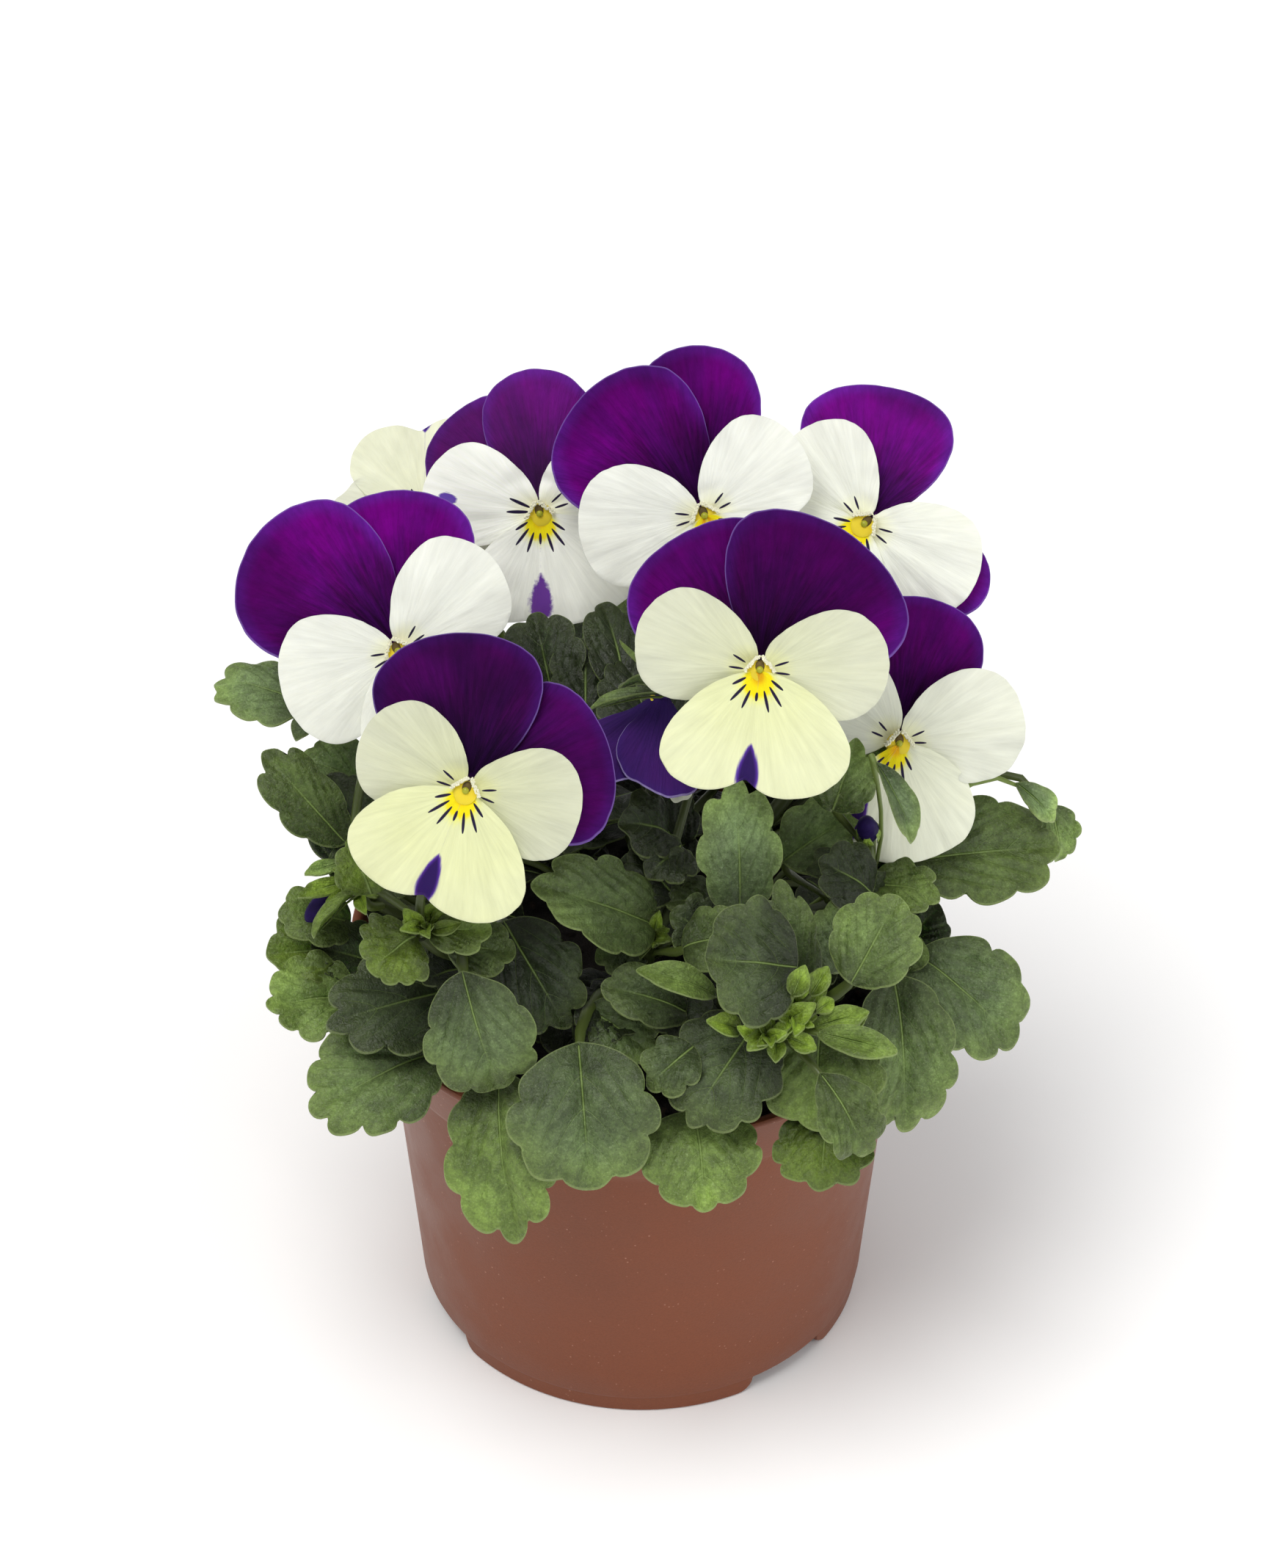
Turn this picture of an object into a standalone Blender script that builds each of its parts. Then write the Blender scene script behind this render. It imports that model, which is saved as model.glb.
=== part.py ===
"""A potted pansy: a small round nursery pot, its soil, eight leafy stems and nine two-coloured blooms.

Lengths in the tables are millimetres, angles are degrees. The pot stands on Z = 0 with its axis on Z,
and the plant's best side faces -Y. Every node is in metres once it is built.
"""

import math

import bmesh
import bpy
from mathutils import Matrix, Vector

MM = 0.001

# --- driving dimensions -----------------------------------------------------------------------

POT_HEIGHT = 81.0
LIP_RADIUS = 52.5
LIP_THICKNESS = 1.6
BAND_BOTTOM = 66.2
BAND_RADIUS = 48.4
BODY_RADIUS = 46.4
BASE_RADIUS = 40.3
WALL = 1.2
FLOOR_UNDERSIDE = 4.4
FOOT_GAP_HEIGHT = 3.6
FOOT_GAP_WIDTH = 16.0
FOOT_GAP_ANGLES = (42.0, 168.0, 294.5)
POT_SIDES = 40
DRAIN_RADIUS = 4.0
DRAIN_RING = 24.0
DRAIN_HOLES = 6

SOIL_TOP = 73.0
SOIL_CLEARANCE = 0.4
STEM_HOLE_DEPTH = 11.0
STEM_RADIUS = 1.6
STEM_HOLE_RADIUS = 2.0

BLADE_THICKNESS = 0.75
PETIOLE_RADIUS = 1.1
PEDICEL_RADIUS = 0.95
BUD_GAP = 0.35
LEAF_LOBES = 7
LOBE_DEPTH = 0.13

# --- the plant's layout -----------------------------------------------------------------------

# Each stem: where it leaves the soil, its tip, and the direction its leaves turn their faces to.
STEMS = {
    "stem_front_left": ((-11, -9), (-38, -39, 117), (-0.2, -0.7, 1.0)),
    "stem_left": ((-14, 0), (-49, -18, 108), (-0.2, -0.6, 1.0)),
    "stem_front": ((0, -14), (1, -30, 106), (0.0, -0.6, 1.0)),
    "stem_front_right": ((10, -10), (23, -50, 104), (0.1, -0.8, 1.0)),
    "stem_right": ((15, 0), (40, -14, 107), (0.2, -0.6, 1.0)),
    "stem_back_left": ((-10, 11), (-30, 24, 112), (-0.2, -0.1, 1.0)),
    "stem_back": ((0, 15), (4, 34, 112), (0.0, 0.3, 1.0)),
    "stem_back_right": ((11, 10), (34, 26, 108), (0.2, 0.1, 1.0)),
}

# Each leaf: where its blade starts, its tip, its width, and its roll about the midrib.
LEAVES = {
    "stem_front_left": (
        ((-35, -38, 89), (-58, -48, 84), 21, 0),
        ((-30, -30, 97), (-55, -42, 98), 20, 0),
        ((-47, -28, 117), (-50, -28, 130), 10, 0),
        ((-39, -40, 118), (-47, -46, 115), 15, 0),
        ((-37, -40, 119), (-26, -42, 121), 8, 0),
        ((-34, -36, 112), (-22, -38, 112), 9, 0),
        ((-24, -30, 112), (-13, -40, 96), 18, 0),
        ((-31, -44, 113), (-25, -52, 93), 20, 0),
        ((-25, -45, 90), (-22, -65, 69), 22, 12),
    ),
    "stem_left": (
        ((-50, -27, 92), (-66, -33, 95), 17, 0),
        ((-53, -20, 96), (-66, -24, 99), 14, 0),
        ((-51, -16, 99), (-64, -20, 105), 12, 0),
        ((-49, -24, 114), (-57, -32, 110), 7, 50),
        ((-47, -20, 113), (-40, -22, 112), 8, 0),
        ((-52, -14, 116), (-66, -6, 130), 12, 0),
        ((-49, 0, 117), (-60, 2, 122), 13, 0),
    ),
    "stem_front": (
        ((-11, -48, 100), (-9, -64, 80), 27, 0),
        ((-10, -36, 97), (2, -42, 91), 12, 0),
        ((13, -46, 109), (-1, -48, 117), 8, 0),
        ((8, -38, 98), (-7, -40, 106), 11, 0),
        ((7, -38, 113), (18, -40, 118), 12, 0),
        ((2, -28, 109), (-19, -36, 126), 17, 0),
        ((17, -28, 114), (16, -20, 138), 16, 0),
        ((13, -24, 111), (4, -26, 113), 9, 0),
        ((9, -10, 114), (2, -16, 111), 12, 0),
        ((5, -2, 111), (-3, -6, 112), 9, 0),
        ((1, -26, 103), (-8, -30, 103), 10, 0),
    ),
    "stem_front_right": (
        ((9, -50, 101), (1, -55, 96), 11, 0),
        ((20, -44, 101), (8, -58, 90), 21, 0),
        ((9, -50, 86), (11, -64, 75), 22, 0),
        ((32, -48, 84), (31, -60, 76), 18, 0),
        ((31, -42, 98), (30, -54, 85), 24, 0),
        ((31, -56, 100), (39, -60, 85), 12, 0),
        ((36, -46, 112), (44, -38, 125), 16, 0),
        ((30, -52, 106), (44, -56, 105), 8, 0),
        ((27, -40, 103), (24, -32, 123), 10, 0),
        ((27, -44, 114), (11, -48, 120), 23, 0),
        ((29, -50, 105), (39, -50, 109), 7, 0),
    ),
    "stem_right": (
        ((44, -34, 103), (46, -48, 79), 19, 0),
        ((48, -20, 95), (66, -30, 83), 21, 0),
        ((35, -28, 98), (34, -22, 111), 13, 0),
        ((40, -20, 112), (52, -26, 114), 11, 0),
        ((25, -14, 112), (38, -6, 116), 14, 0),
        ((33, -20, 129), (37, -18, 143), 12, 0),
        ((41, -26, 130), (45, -26, 147), 9, 0),
        ((39, -12, 107), (29, -18, 113), 10, 0),
        ((46, -8, 106), (74, 0, 103), 20, 0),
        ((66, 2, 116), (73, 0, 109), 8, 0),
        ((73, 8, 105), (75, 6, 94), 9, 0),
    ),
    "stem_back_left": (
        ((-58, 12, 126), (-76, 18, 126), 15, 0),
        ((-26, 28, 122), (-25, 32, 126), 8, 0),
        ((-15, 8, 128), (-19, 24, 138), 15, 0),
    ),
    "stem_back": (
        ((-3, 8, 132), (-7, 24, 139), 12, 0),
        ((-11, 20, 129), (-10, 28, 132), 8, 0),
    ),
    "stem_back_right": (),
}

# Each bloom: the stem it grows from, the middle of its throat, the way it faces (azimuth from -Y
# towards +X, elevation, clockwise roll), how far its petals close forward, and for the upper
# left, upper right, left, right and lip petals the angle from its top, the length and the width.
BLOOMS = {
    "bloom_1": ("stem_front_left", (-30, -38, 149), (-4, 38, 17), 0,
                ((-25, 27, 32), (55, 25, 31), (-79, 20, 20), (81, 20, 20), (183, 22, 31))),
    "bloom_2": ("stem_front_right", (20, -24, 164), (3, 42, 5), 0,
                ((-33, 27, 32), (32, 28, 38), (-76, 22, 19), (82, 22, 20), (180, 23, 31))),
    "bloom_3": ("stem_left", (-42, -6, 153), (-12, 38, -36), 0,
                ((-26, 33, 32), (30, 28, 22), (-82, 22, 24), (74, 22, 21), (180, 22, 30))),
    "bloom_4": ("stem_back_left", (-18, 33, 152), (-5, 25, -14), 0,
                ((-38, 23, 25), (10, 25, 22), (-66, 21, 20), (70, 20, 18), (178, 19, 27))),
    "bloom_5": ("stem_back", (11, 20, 162), (0, 38, -23), 0,
                ((-23, 30, 32), (20, 30, 24), (-74, 22, 23), (73, 21, 21), (180, 22, 30))),
    "bloom_6": ("stem_back_right", (39, 26, 155.3), (-4, 40, 43), 0,
                ((-34, 25, 26), (76, 25, 17), (-76, 20, 18), (72, 22, 21), (180, 21, 30))),
    "bloom_7": ("stem_right", (45, -3.5, 129.8), (14, 30, 10), 0,
                ((-42, 26, 28), (14, 26, 26), (-56, 18, 20), (77, 23, 22), (168, 21, 26))),
    "bloom_8": ("stem_back_left", (-39, 45, 142), (180, 86, 0), 0,
                ((-45, 20, 22), (6, 18, 18), (-84, 20, 21), (118, 14, 14), (180, 21, 31))),
    "bloom_9": ("stem_front", (3, -4, 139), (-40, -60, 20), 50,
                ((-30, 19, 20), (30, 19, 20), (-70, 15, 14), (70, 15, 14), (180, 15, 18))),
}

# Each unopened bud: its stem, its middle and its tip.
BUDS = {
    "bud_left": ("stem_left", (-56, -22, 108.5), (-58.8, -24.5, 107)),
    "bud_right": ("stem_right", (39.3, -18, 123), (38.8, -20, 126.5)),
}

# For the five petals, in the order of a bloom's list: depth at the throat, lean, bend of the
# sides, start beyond the throat, and depth of the notch at the far edge.
PETAL_FORMS = (
    (-3.6, -6, -2.0, 1.0, 0.0),
    (-2.8, -4, -2.0, 1.0, 0.0),
    (-1.2, 2, -1.5, 1.0, 0.0),
    (-1.0, 2, -1.5, 1.0, 0.0),
    (0.0, 4, -2.0, 0.0, 0.16),
)
PURPLE_PETALS = (0, 1)
PALE_PETALS = (2, 3, 4)

# Each pedicel: how far along its stem it starts, a point it passes (or None), and how long it
# runs straight behind the bloom.
PEDICELS = {
    "bloom_1": (1.0, None, 11),
    "bloom_2": (0.62, (21, -11, 124), 11),
    "bloom_3": (1.0, None, 13),
    "bloom_4": (0.75, (-15, 42, 128), 11),
    "bloom_5": (1.0, None, 13),
    "bloom_6": (1.0, None, 13),
    "bloom_7": (0.95, (42, 6, 112), 11),
    "bloom_8": (0.9, None, 14),
    "bloom_9": (0.9, (12, 0, 132), 16),
}

# Leaves round the back, set out by rule: for each back stem its outward direction, the number of
# leaves, and the angle they are spread over.
BACK_LEAVES = {
    "stem_back_left": (-116.0, 5, 80.0),
    "stem_back": (180.0, 4, 60.0),
    "stem_back_right": (104.0, 6, 84.0),
}
BACK_LEAF_LENGTH = 19.0
BACK_LEAF_REACH = 15.0

COLOURS = {
    "pot": ((0.22, 0.09, 0.058), 0.45),
    "soil": ((0.03, 0.02, 0.014), 0.95),
    "leaves": ((0.13, 0.2, 0.07), 0.5),
    "purple": ((0.1, 0.01, 0.2), 0.55),
    "pale": ((0.86, 0.86, 0.78), 0.6),
    "cream": ((0.84, 0.86, 0.55), 0.6),
}
CREAM_BLOOMS = ("bloom_1", "bloom_2", "bloom_8")


# --- geometry helpers -------------------------------------------------------------------------

def pose(azimuth, elevation, roll):
    """The right, up and forward directions of something that faces this way."""
    az, el, ro = (math.radians(a) for a in (azimuth, elevation, roll))
    normal = Vector((math.sin(az) * math.cos(el), -math.cos(az) * math.cos(el), math.sin(el)))
    right = Vector((0, 0, 1)).cross(normal).normalized()
    up = normal.cross(right)
    turned_up = up * math.cos(ro) + right * math.sin(ro)
    turned_right = right * math.cos(ro) - up * math.sin(ro)
    return turned_right, turned_up, normal


def disc(a, b):
    """Carries the square -1..1 onto the unit disc, rings to rings."""
    if abs(a) < 1e-9 and abs(b) < 1e-9:
        return 0.0, 0.0
    if abs(a) > abs(b):
        radius, angle = a, math.pi / 4 * b / a
    else:
        radius, angle = b, math.pi / 2 - math.pi / 4 * a / b
    return radius * math.cos(angle), radius * math.sin(angle)


def object_from(bm, name):
    bmesh.ops.recalc_face_normals(bm, faces=bm.faces[:])
    mesh = bpy.data.meshes.new(name)
    bm.to_mesh(mesh)
    bm.free()
    obj = bpy.data.objects.new(name, mesh)
    bpy.context.scene.collection.objects.link(obj)
    return obj


def blade(name, place, cells, thickness=BLADE_THICKNESS):
    """A thin closed blade: a disc moved by place(), triangulated once so both faces match."""
    bm = bmesh.new()
    bmesh.ops.create_grid(bm, x_segments=cells[0], y_segments=cells[1], size=1)
    for vert in bm.verts:
        vert.co = place(*disc(vert.co.x, vert.co.y)) * MM
    bmesh.ops.triangulate(bm, faces=bm.faces[:])
    bmesh.ops.solidify(bm, geom=bm.faces[:], thickness=thickness * MM)
    return object_from(bm, name)


def tube(name, path, radii, sides):
    """A closed tube round a path, with a radius at each of its points."""
    count = len(path)
    tangents = [(path[min(i + 1, count - 1)] - path[max(i - 1, 0)]).normalized() for i in range(count)]
    side = tangents[0].orthogonal().normalized()
    frames = []
    for tangent in tangents:
        side = (side - tangent * side.dot(tangent)).normalized()
        frames.append((side, tangent.cross(side)))
    bm = bmesh.new()
    bmesh.ops.create_grid(bm, x_segments=sides, y_segments=count - 1, size=1)
    for vert in bm.verts:
        row = round((vert.co.y + 1) / 2 * (count - 1))
        turn = math.pi * (vert.co.x + 1)
        across, over = frames[row]
        offset = across * math.cos(turn) + over * math.sin(turn)
        vert.co = (path[row] + offset * radii[row]) * MM
    bmesh.ops.remove_doubles(bm, verts=bm.verts[:], dist=1e-6)
    bmesh.ops.holes_fill(bm, edges=[e for e in bm.edges if e.is_boundary], sides=sides)
    return object_from(bm, name)


def turned(name, profile, sides):
    """A solid of revolution about Z from (radius, height) points; both ends lie on the axis."""
    bm = bmesh.new()
    verts = [bm.verts.new((r * MM, 0, z * MM)) for r, z in profile]
    edges = [bm.edges.new(pair) for pair in zip(verts, verts[1:])]
    bmesh.ops.spin(bm, geom=verts + edges, axis=(0, 0, 1), cent=(0, 0, 0), steps=sides,
                   angle=math.tau, use_merge=True)
    bmesh.ops.remove_doubles(bm, verts=bm.verts[:], dist=1e-6)
    return object_from(bm, name)


def rod(name, start, end, radius, sides=8, depth=None):
    """A straight cylinder between two points, or a taper to the second radius in depth."""
    return tube(name, [Vector(start), Vector(end)], [radius, depth or radius], sides)


def bezier(controls, count):
    """Evenly stepped points of the Bezier curve with these control points."""
    points = []
    for i in range(count):
        t = i / (count - 1)
        row = [Vector(p) for p in controls]
        while len(row) > 1:
            row = [a.lerp(b, t) for a, b in zip(row, row[1:])]
        points.append(row[0])
    return points


def discard(obj):
    bpy.data.objects.remove(obj)


def replace_mesh(obj):
    """Applies the object's modifiers."""
    graph = bpy.context.evaluated_depsgraph_get()
    mesh = bpy.data.meshes.new_from_object(obj.evaluated_get(graph))
    obj.modifiers.clear()
    obj.data = mesh


def fuse(name, pieces, solver="EXACT"):
    """Joins overlapping pieces into one closed body."""
    first, rest = pieces[0], pieces[1:]
    first.name = name
    if rest:
        group = bpy.data.collections.new(name + "_pieces")
        bpy.context.scene.collection.children.link(group)
        for piece in rest:
            bpy.context.scene.collection.objects.unlink(piece)
            group.objects.link(piece)
        join = first.modifiers.new("join", "BOOLEAN")
        join.operation = "UNION"
        join.solver = solver
        join.operand_type = "COLLECTION"
        join.collection = group
        replace_mesh(first)
        for piece in rest:
            discard(piece)
        bpy.data.collections.remove(group)
    return first


def cut(obj, cutters):
    """Cuts each of these pieces out of the object."""
    for cutter in cutters:
        cutter.hide_render = True
        cutter.display_type = "WIRE"
        take = obj.modifiers.new("cut", "BOOLEAN")
        take.operation = "DIFFERENCE"
        take.solver = "EXACT"
        take.object = cutter
    replace_mesh(obj)
    for cutter in cutters:
        discard(cutter)


def paint(obj, colour):
    """Gives the object its own plain material."""
    rgb, roughness = COLOURS[colour]
    material = bpy.data.materials.new(obj.name)
    material.use_nodes = True
    shader = material.node_tree.nodes["Principled BSDF"]
    shader.inputs["Base Color"].default_value = (*rgb, 1)
    shader.inputs["Roughness"].default_value = roughness
    shader.inputs["Metallic"].default_value = 0.0
    obj.data.materials.clear()
    obj.data.materials.append(material)


# --- pot and soil -----------------------------------------------------------------------------

def build_pot():
    base, body, band, lip = BASE_RADIUS, BODY_RADIUS, BAND_RADIUS, LIP_RADIUS
    rise, top = FLOOR_UNDERSIDE, POT_HEIGHT
    profile = (
        (0, rise), (base - 2.0, rise), (base - 1.7, 0), (base, 0),
        (body, BAND_BOTTOM), (band, BAND_BOTTOM + 1.0), (lip - 1.3, top - 2.0), (lip, top - 1.6),
        (lip, top - 0.4), (lip - 0.4, top), (lip - LIP_THICKNESS, top),
        (band - WALL + 0.2, BAND_BOTTOM + 1.2), (body - WALL, BAND_BOTTOM),
        (base - WALL + 0.2, rise + 1.8), (0, rise + 1.4),
    )
    pot = turned("pot", profile, POT_SIDES)
    cutters = []
    for angle in FOOT_GAP_ANGLES:
        toward = Vector((math.sin(math.radians(angle)), -math.cos(math.radians(angle)), 0))
        bm = bmesh.new()
        bmesh.ops.create_cube(bm, size=1)
        size = Matrix.Diagonal((FOOT_GAP_WIDTH, 12, 2 * FOOT_GAP_HEIGHT, 1))
        spin = Matrix.Rotation(math.radians(angle), 4, "Z")
        bmesh.ops.transform(bm, verts=bm.verts[:], matrix=Matrix.Scale(MM, 4)
                            @ Matrix.Translation(toward * base) @ spin @ size)
        cutters.append(object_from(bm, "foot_gap"))
    for i in range(DRAIN_HOLES):
        turn = math.tau * i / DRAIN_HOLES
        x, y = DRAIN_RING * math.sin(turn), DRAIN_RING * math.cos(turn)
        cutters.append(rod("drain", (x, y, -3), (x, y, 12), DRAIN_RADIUS, sides=8))
    cut(pot, cutters)
    paint(pot, "pot")


def build_soil():
    """The soil plug, with a plain hole for each stem."""
    base, body, band = BASE_RADIUS, BODY_RADIUS, BAND_RADIUS
    inner = WALL + SOIL_CLEARANCE
    bottom, top = FLOOR_UNDERSIDE + 2.3, SOIL_TOP
    profile = (
        (0, bottom), (base - inner - 0.6, bottom), (body - inner, BAND_BOTTOM),
        (band - inner + 0.1, BAND_BOTTOM + 1.4), (band - inner + 0.9, top - 1.0),
        (40, top), (28, top + 0.5), (0, top + 1.0),
    )
    soil = turned("soil", profile, POT_SIDES // 2)
    cutters = []
    for (x, y), _tip, _light in STEMS.values():
        cutters.append(rod("hole", (x, y, SOIL_TOP - STEM_HOLE_DEPTH), (x, y, SOIL_TOP + 8),
                           STEM_HOLE_RADIUS, sides=8))
    cut(soil, cutters)
    paint(soil, "soil")


# --- leaves and stems -------------------------------------------------------------------------

def stem_path(name):
    (x, y), tip, _light = STEMS[name]
    tip = Vector(tip)
    floor = Vector((x, y, SOIL_TOP - STEM_HOLE_DEPTH + 0.4))
    mouth = Vector((x, y, SOIL_TOP + 2))
    rise = tip.z - mouth.z
    upper = bezier((mouth, mouth + Vector((0, 0, 0.35 * rise)),
                    Vector((tip.x * 0.86, tip.y * 0.86, tip.z - 0.38 * rise)), tip), 8)
    return [floor] + upper


def point_along(path, fraction):
    """The point and direction at a fraction of the way along the part above the soil."""
    place = 1 + fraction * (len(path) - 2)
    i = min(int(place), len(path) - 2)
    return path[i].lerp(path[i + 1], place - i), (path[i + 1] - path[i]).normalized()


def point_below(path, height):
    """The highest point of the stem that isn't above this height."""
    low, high = path[1].z + 1, path[-1].z - 0.8
    height = min(max(height, low), high)
    for a, b in zip(path[1:], path[2:]):
        if a.z <= height <= b.z:
            return a.lerp(b, (height - a.z) / (b.z - a.z)), (b - a).normalized()
    return path[-1], (path[-1] - path[-2]).normalized()


def leaf_pieces(name, path, light, start, tip, width, roll):
    """A blade with scalloped edges, and the petiole that carries it."""
    start, tip = Vector(start), Vector(tip)
    along = tip - start
    length = along.length
    along = along / length
    light = Vector(light)
    normal = (light - along * light.dot(along)).normalized()
    across = along.cross(normal)
    roll = math.radians(roll)
    across, normal = (across * math.cos(roll) - normal * math.sin(roll),
                      normal * math.cos(roll) + across * math.sin(roll))
    arch = 0.06 if abs(along.z) < 0.4 else 0.11

    def place(x, y):
        turn = math.atan2(x, y)
        reach = math.hypot(x, y)
        tooth = 0.5 - 0.5 * math.cos(8 * turn)
        fade = min(max((math.cos(turn) + 0.75) / 0.5, 0), 1)
        shrink = 1 - LOBE_DEPTH * fade * tooth * reach ** 4
        x, y = x * shrink, y * shrink
        u = (1 + y) / 2
        side = width / 2 * x * (1 + 0.15 * y)
        lift = arch * length * 4 * u * (1 - u) + BLADE_THICKNESS / 2 + 0.08 * abs(side)
        return start + along * (length * u) + across * side + normal * lift

    if width >= 21:
        cells = (4, 3)
    elif width >= 13:
        cells = (2, 4)
    elif width >= 8:
        cells = (2, 3)
    else:
        cells = (2, 2)
    leaf = blade(name, place, cells)
    root, direction = point_below(path, start.z - 0.55 * (start - path[-1]).length - 6)
    end = start + along * (0.16 * length) + normal * (arch * length * 0.5)
    run = (end - root).length
    points = bezier((root, root + direction * (0.3 * run) + Vector((0, 0, 0.1 * run)),
                     end - along * (0.3 * run), end), 3 if run < 24 else 4)
    radii = [PETIOLE_RADIUS] * (len(points) - 1) + [PETIOLE_RADIUS * 0.75]
    return [leaf, tube(name + "_petiole", points, radii, 3)]


def back_leaves(name):
    """The hidden leaves of a back stem, fanned out by rule."""
    facing, count, spread = BACK_LEAVES[name]
    path = stem_path(name)
    rows = []
    for i in range(count):
        turn = math.radians(facing + spread * (i / (count - 1) - 0.5))
        out = Vector((math.sin(turn), -math.cos(turn), 0))
        high = (i * 2) % 3
        base, _ = point_along(path, 0.45 + 0.2 * high)
        start = base + out * (BACK_LEAF_REACH - 3 * high) + Vector((0, 0, 1 + 2 * high))
        length = BACK_LEAF_LENGTH - 2 * high
        drop = (7, 1, -5)[high]
        tip = start + out * math.sqrt(length ** 2 - drop ** 2) - Vector((0, 0, drop))
        rows.append((tuple(start), tuple(tip), 20 - 2 * high, 0))
    return rows


def in_bloom(name):
    """The bloom's own frame, in millimetres."""
    _stem, at, facing, _close, _petals = BLOOMS[name]
    right, up, normal = pose(*facing)
    frame = Matrix((right, up, normal)).transposed().to_4x4()
    frame.translation = Vector(at)
    return frame


def calyx_pieces(name):
    """The five sepals behind the bloom and the round receptacle that they spread from."""
    frame = in_bloom(name)
    bm = bmesh.new()
    bmesh.ops.create_circle(bm, segments=10, radius=1, cap_ends=True, cap_tris=True)
    for vert in bm.verts:
        reach = vert.co.length
        turn = math.atan2(vert.co.x, vert.co.y)
        point = reach > 0.5 and math.cos(5 * turn) > 0
        reach *= 9.0 if point else 2.5
        vert.co = (frame @ Vector((reach * math.sin(turn), 1 + reach * math.cos(turn),
                                   -5.0 - 0.22 * reach))) * MM
    bmesh.ops.triangulate(bm, faces=bm.faces[:])
    bmesh.ops.solidify(bm, geom=bm.faces[:], thickness=0.8 * MM)
    star = object_from(bm, name + "_sepals")
    heart = [frame @ Vector((0, 1, z)) for z in (-4.7, -5.6, -7.6)]
    return [star, tube(name + "_receptacle", heart, (1.6, 2.0, 1.2), 6)]


def pedicel(name, path):
    """The bloom's stalk, from the stem up and over to the back of the calyx."""
    fraction, via, straight = PEDICELS[name]
    frame = in_bloom(name)
    root, direction = point_along(path, fraction)
    end = frame @ Vector((0, 1, -7.0))
    behind = frame @ Vector((0, 1, -7.0 - straight))
    if via is None:
        run = (behind - root).length
        points = bezier((root, root + direction * (0.2 * run) + Vector((0, 0, 0.45 * run)), behind, end), 8)
    else:
        middle = Vector(via)
        lower = bezier((root, root.lerp(middle, 0.4) + Vector((0, 0, 4)), middle), 4)
        lead = middle + (middle - lower[-2]).normalized() * (0.4 * (behind - middle).length)
        points = lower[:-1] + bezier((middle, lead, behind, end), 6)
    return tube(name + "_pedicel", points, [PEDICEL_RADIUS] * len(points), 4)


def build_stem(name):
    """One leafy stem as a single body: stem, leaves, pedicels and calyxes."""
    path = stem_path(name)
    light = STEMS[name][2]
    radii = [STEM_RADIUS] * 3 + [STEM_RADIUS - 0.05 * i for i in range(1, len(path) - 2)]
    pieces = [tube(name, path, radii, 5)]
    rows = list(LEAVES[name])
    if name in BACK_LEAVES:
        rows += back_leaves(name)
    for i, (start, tip, width, roll) in enumerate(rows):
        pieces += leaf_pieces(f"{name}_leaf_{i}", path, light, start, tip, width, roll)
    for bloom, (stem, _at, _facing, _close, _petals) in BLOOMS.items():
        if stem == name:
            pieces += [pedicel(bloom, path)] + calyx_pieces(bloom)
    for bud, (stem, at, tip) in BUDS.items():
        if stem == name:
            at, tip = Vector(at), Vector(tip)
            axis = (tip - at).normalized()
            heel = at - (tip - at) - axis * BUD_GAP
            neck = heel - axis * 3
            root, _direction = point_below(path, at.z - 5)
            points = [root, root.lerp(neck, 0.5) + Vector((0, -3.6, 0)), neck, heel]
            pieces.append(tube(bud + "_stalk", points, [PEDICEL_RADIUS] * 4, 4))
    paint(fuse(name, pieces), "leaves")


# --- blooms -----------------------------------------------------------------------------------

def petal(name, turn, length, width, form, close):
    """One petal in the bloom's frame: X right, Y up, Z towards the viewer of the bloom."""
    depth, lean, bend, first, notch = form
    turn, lean = math.radians(turn), math.radians(lean + close)

    def place(x, y):
        around = math.atan2(x, y)
        x, y = (c * (1 - notch * math.exp(-(around / 0.28) ** 2) * (x * x + y * y)) for c in (x, y))
        u = (1 + y) / 2
        s = first + (length - first) * u
        t = width / 2 * x * (1 + 0.12 * y) * (u + 0.02) ** 0.2
        z = depth + math.hypot(s, t) * math.tan(lean) + bend * (2 * t / width) ** 2
        return Vector((s * math.sin(turn) + t * math.cos(turn), s * math.cos(turn) - t * math.sin(turn), z))

    return blade(name, place, (4, 3) if notch else (3, 3))


def build_bloom(name):
    """The two purple petals as one node, and the three pale ones with throat and spur as another."""
    _stem, _at, _facing, close, petals = BLOOMS[name]
    shapes = [petal(f"{name}_{i}", *petals[i], PETAL_FORMS[i], close) for i in range(5)]
    claw = tube(name + "_claw", [Vector(p) for p in ((0, 1.4, -2.4), (0, 2.0, -4.2))], (1.6, 1.6), 6)
    purple = fuse(name + "_purple", [claw] + [shapes[i] for i in PURPLE_PETALS])
    core = 2.2 - 0.008 * close
    top = 0.3 + 1.6 * math.tan(math.radians(close))
    foot = 0.026 * close - 1.9
    plug = tube(name + "_plug", [Vector(p) for p in ((0, -0.5, top), (0, -0.5, foot))], (core, core - 0.3), 6)
    back = [Vector(p) for p in ((0, -1.4, -0.4), (0, -3.3, -3.2), (0, -3.6, -8.5))]
    spur = tube(name + "_spur", back, (1.0, 1.0, 0.8), 5)
    pale = fuse(name + "_pale", [plug, spur] + [shapes[i] for i in PALE_PETALS])
    frame = in_bloom(name)
    frame.translation = frame.translation * MM
    for node in (purple, pale):
        node.matrix_world = frame
    paint(purple, "purple")
    paint(pale, "cream" if name in CREAM_BLOOMS else "pale")


def build_bud(name):
    _stem, at, tip = BUDS[name]
    at, tip = Vector(at), Vector(tip)
    rings = [at.lerp(tip, t) for t in (-1, -0.5, 0.2, 1)]
    paint(tube(name, rings, (0.9, 1.9, 1.8, 0.6), 6), "purple")


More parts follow.
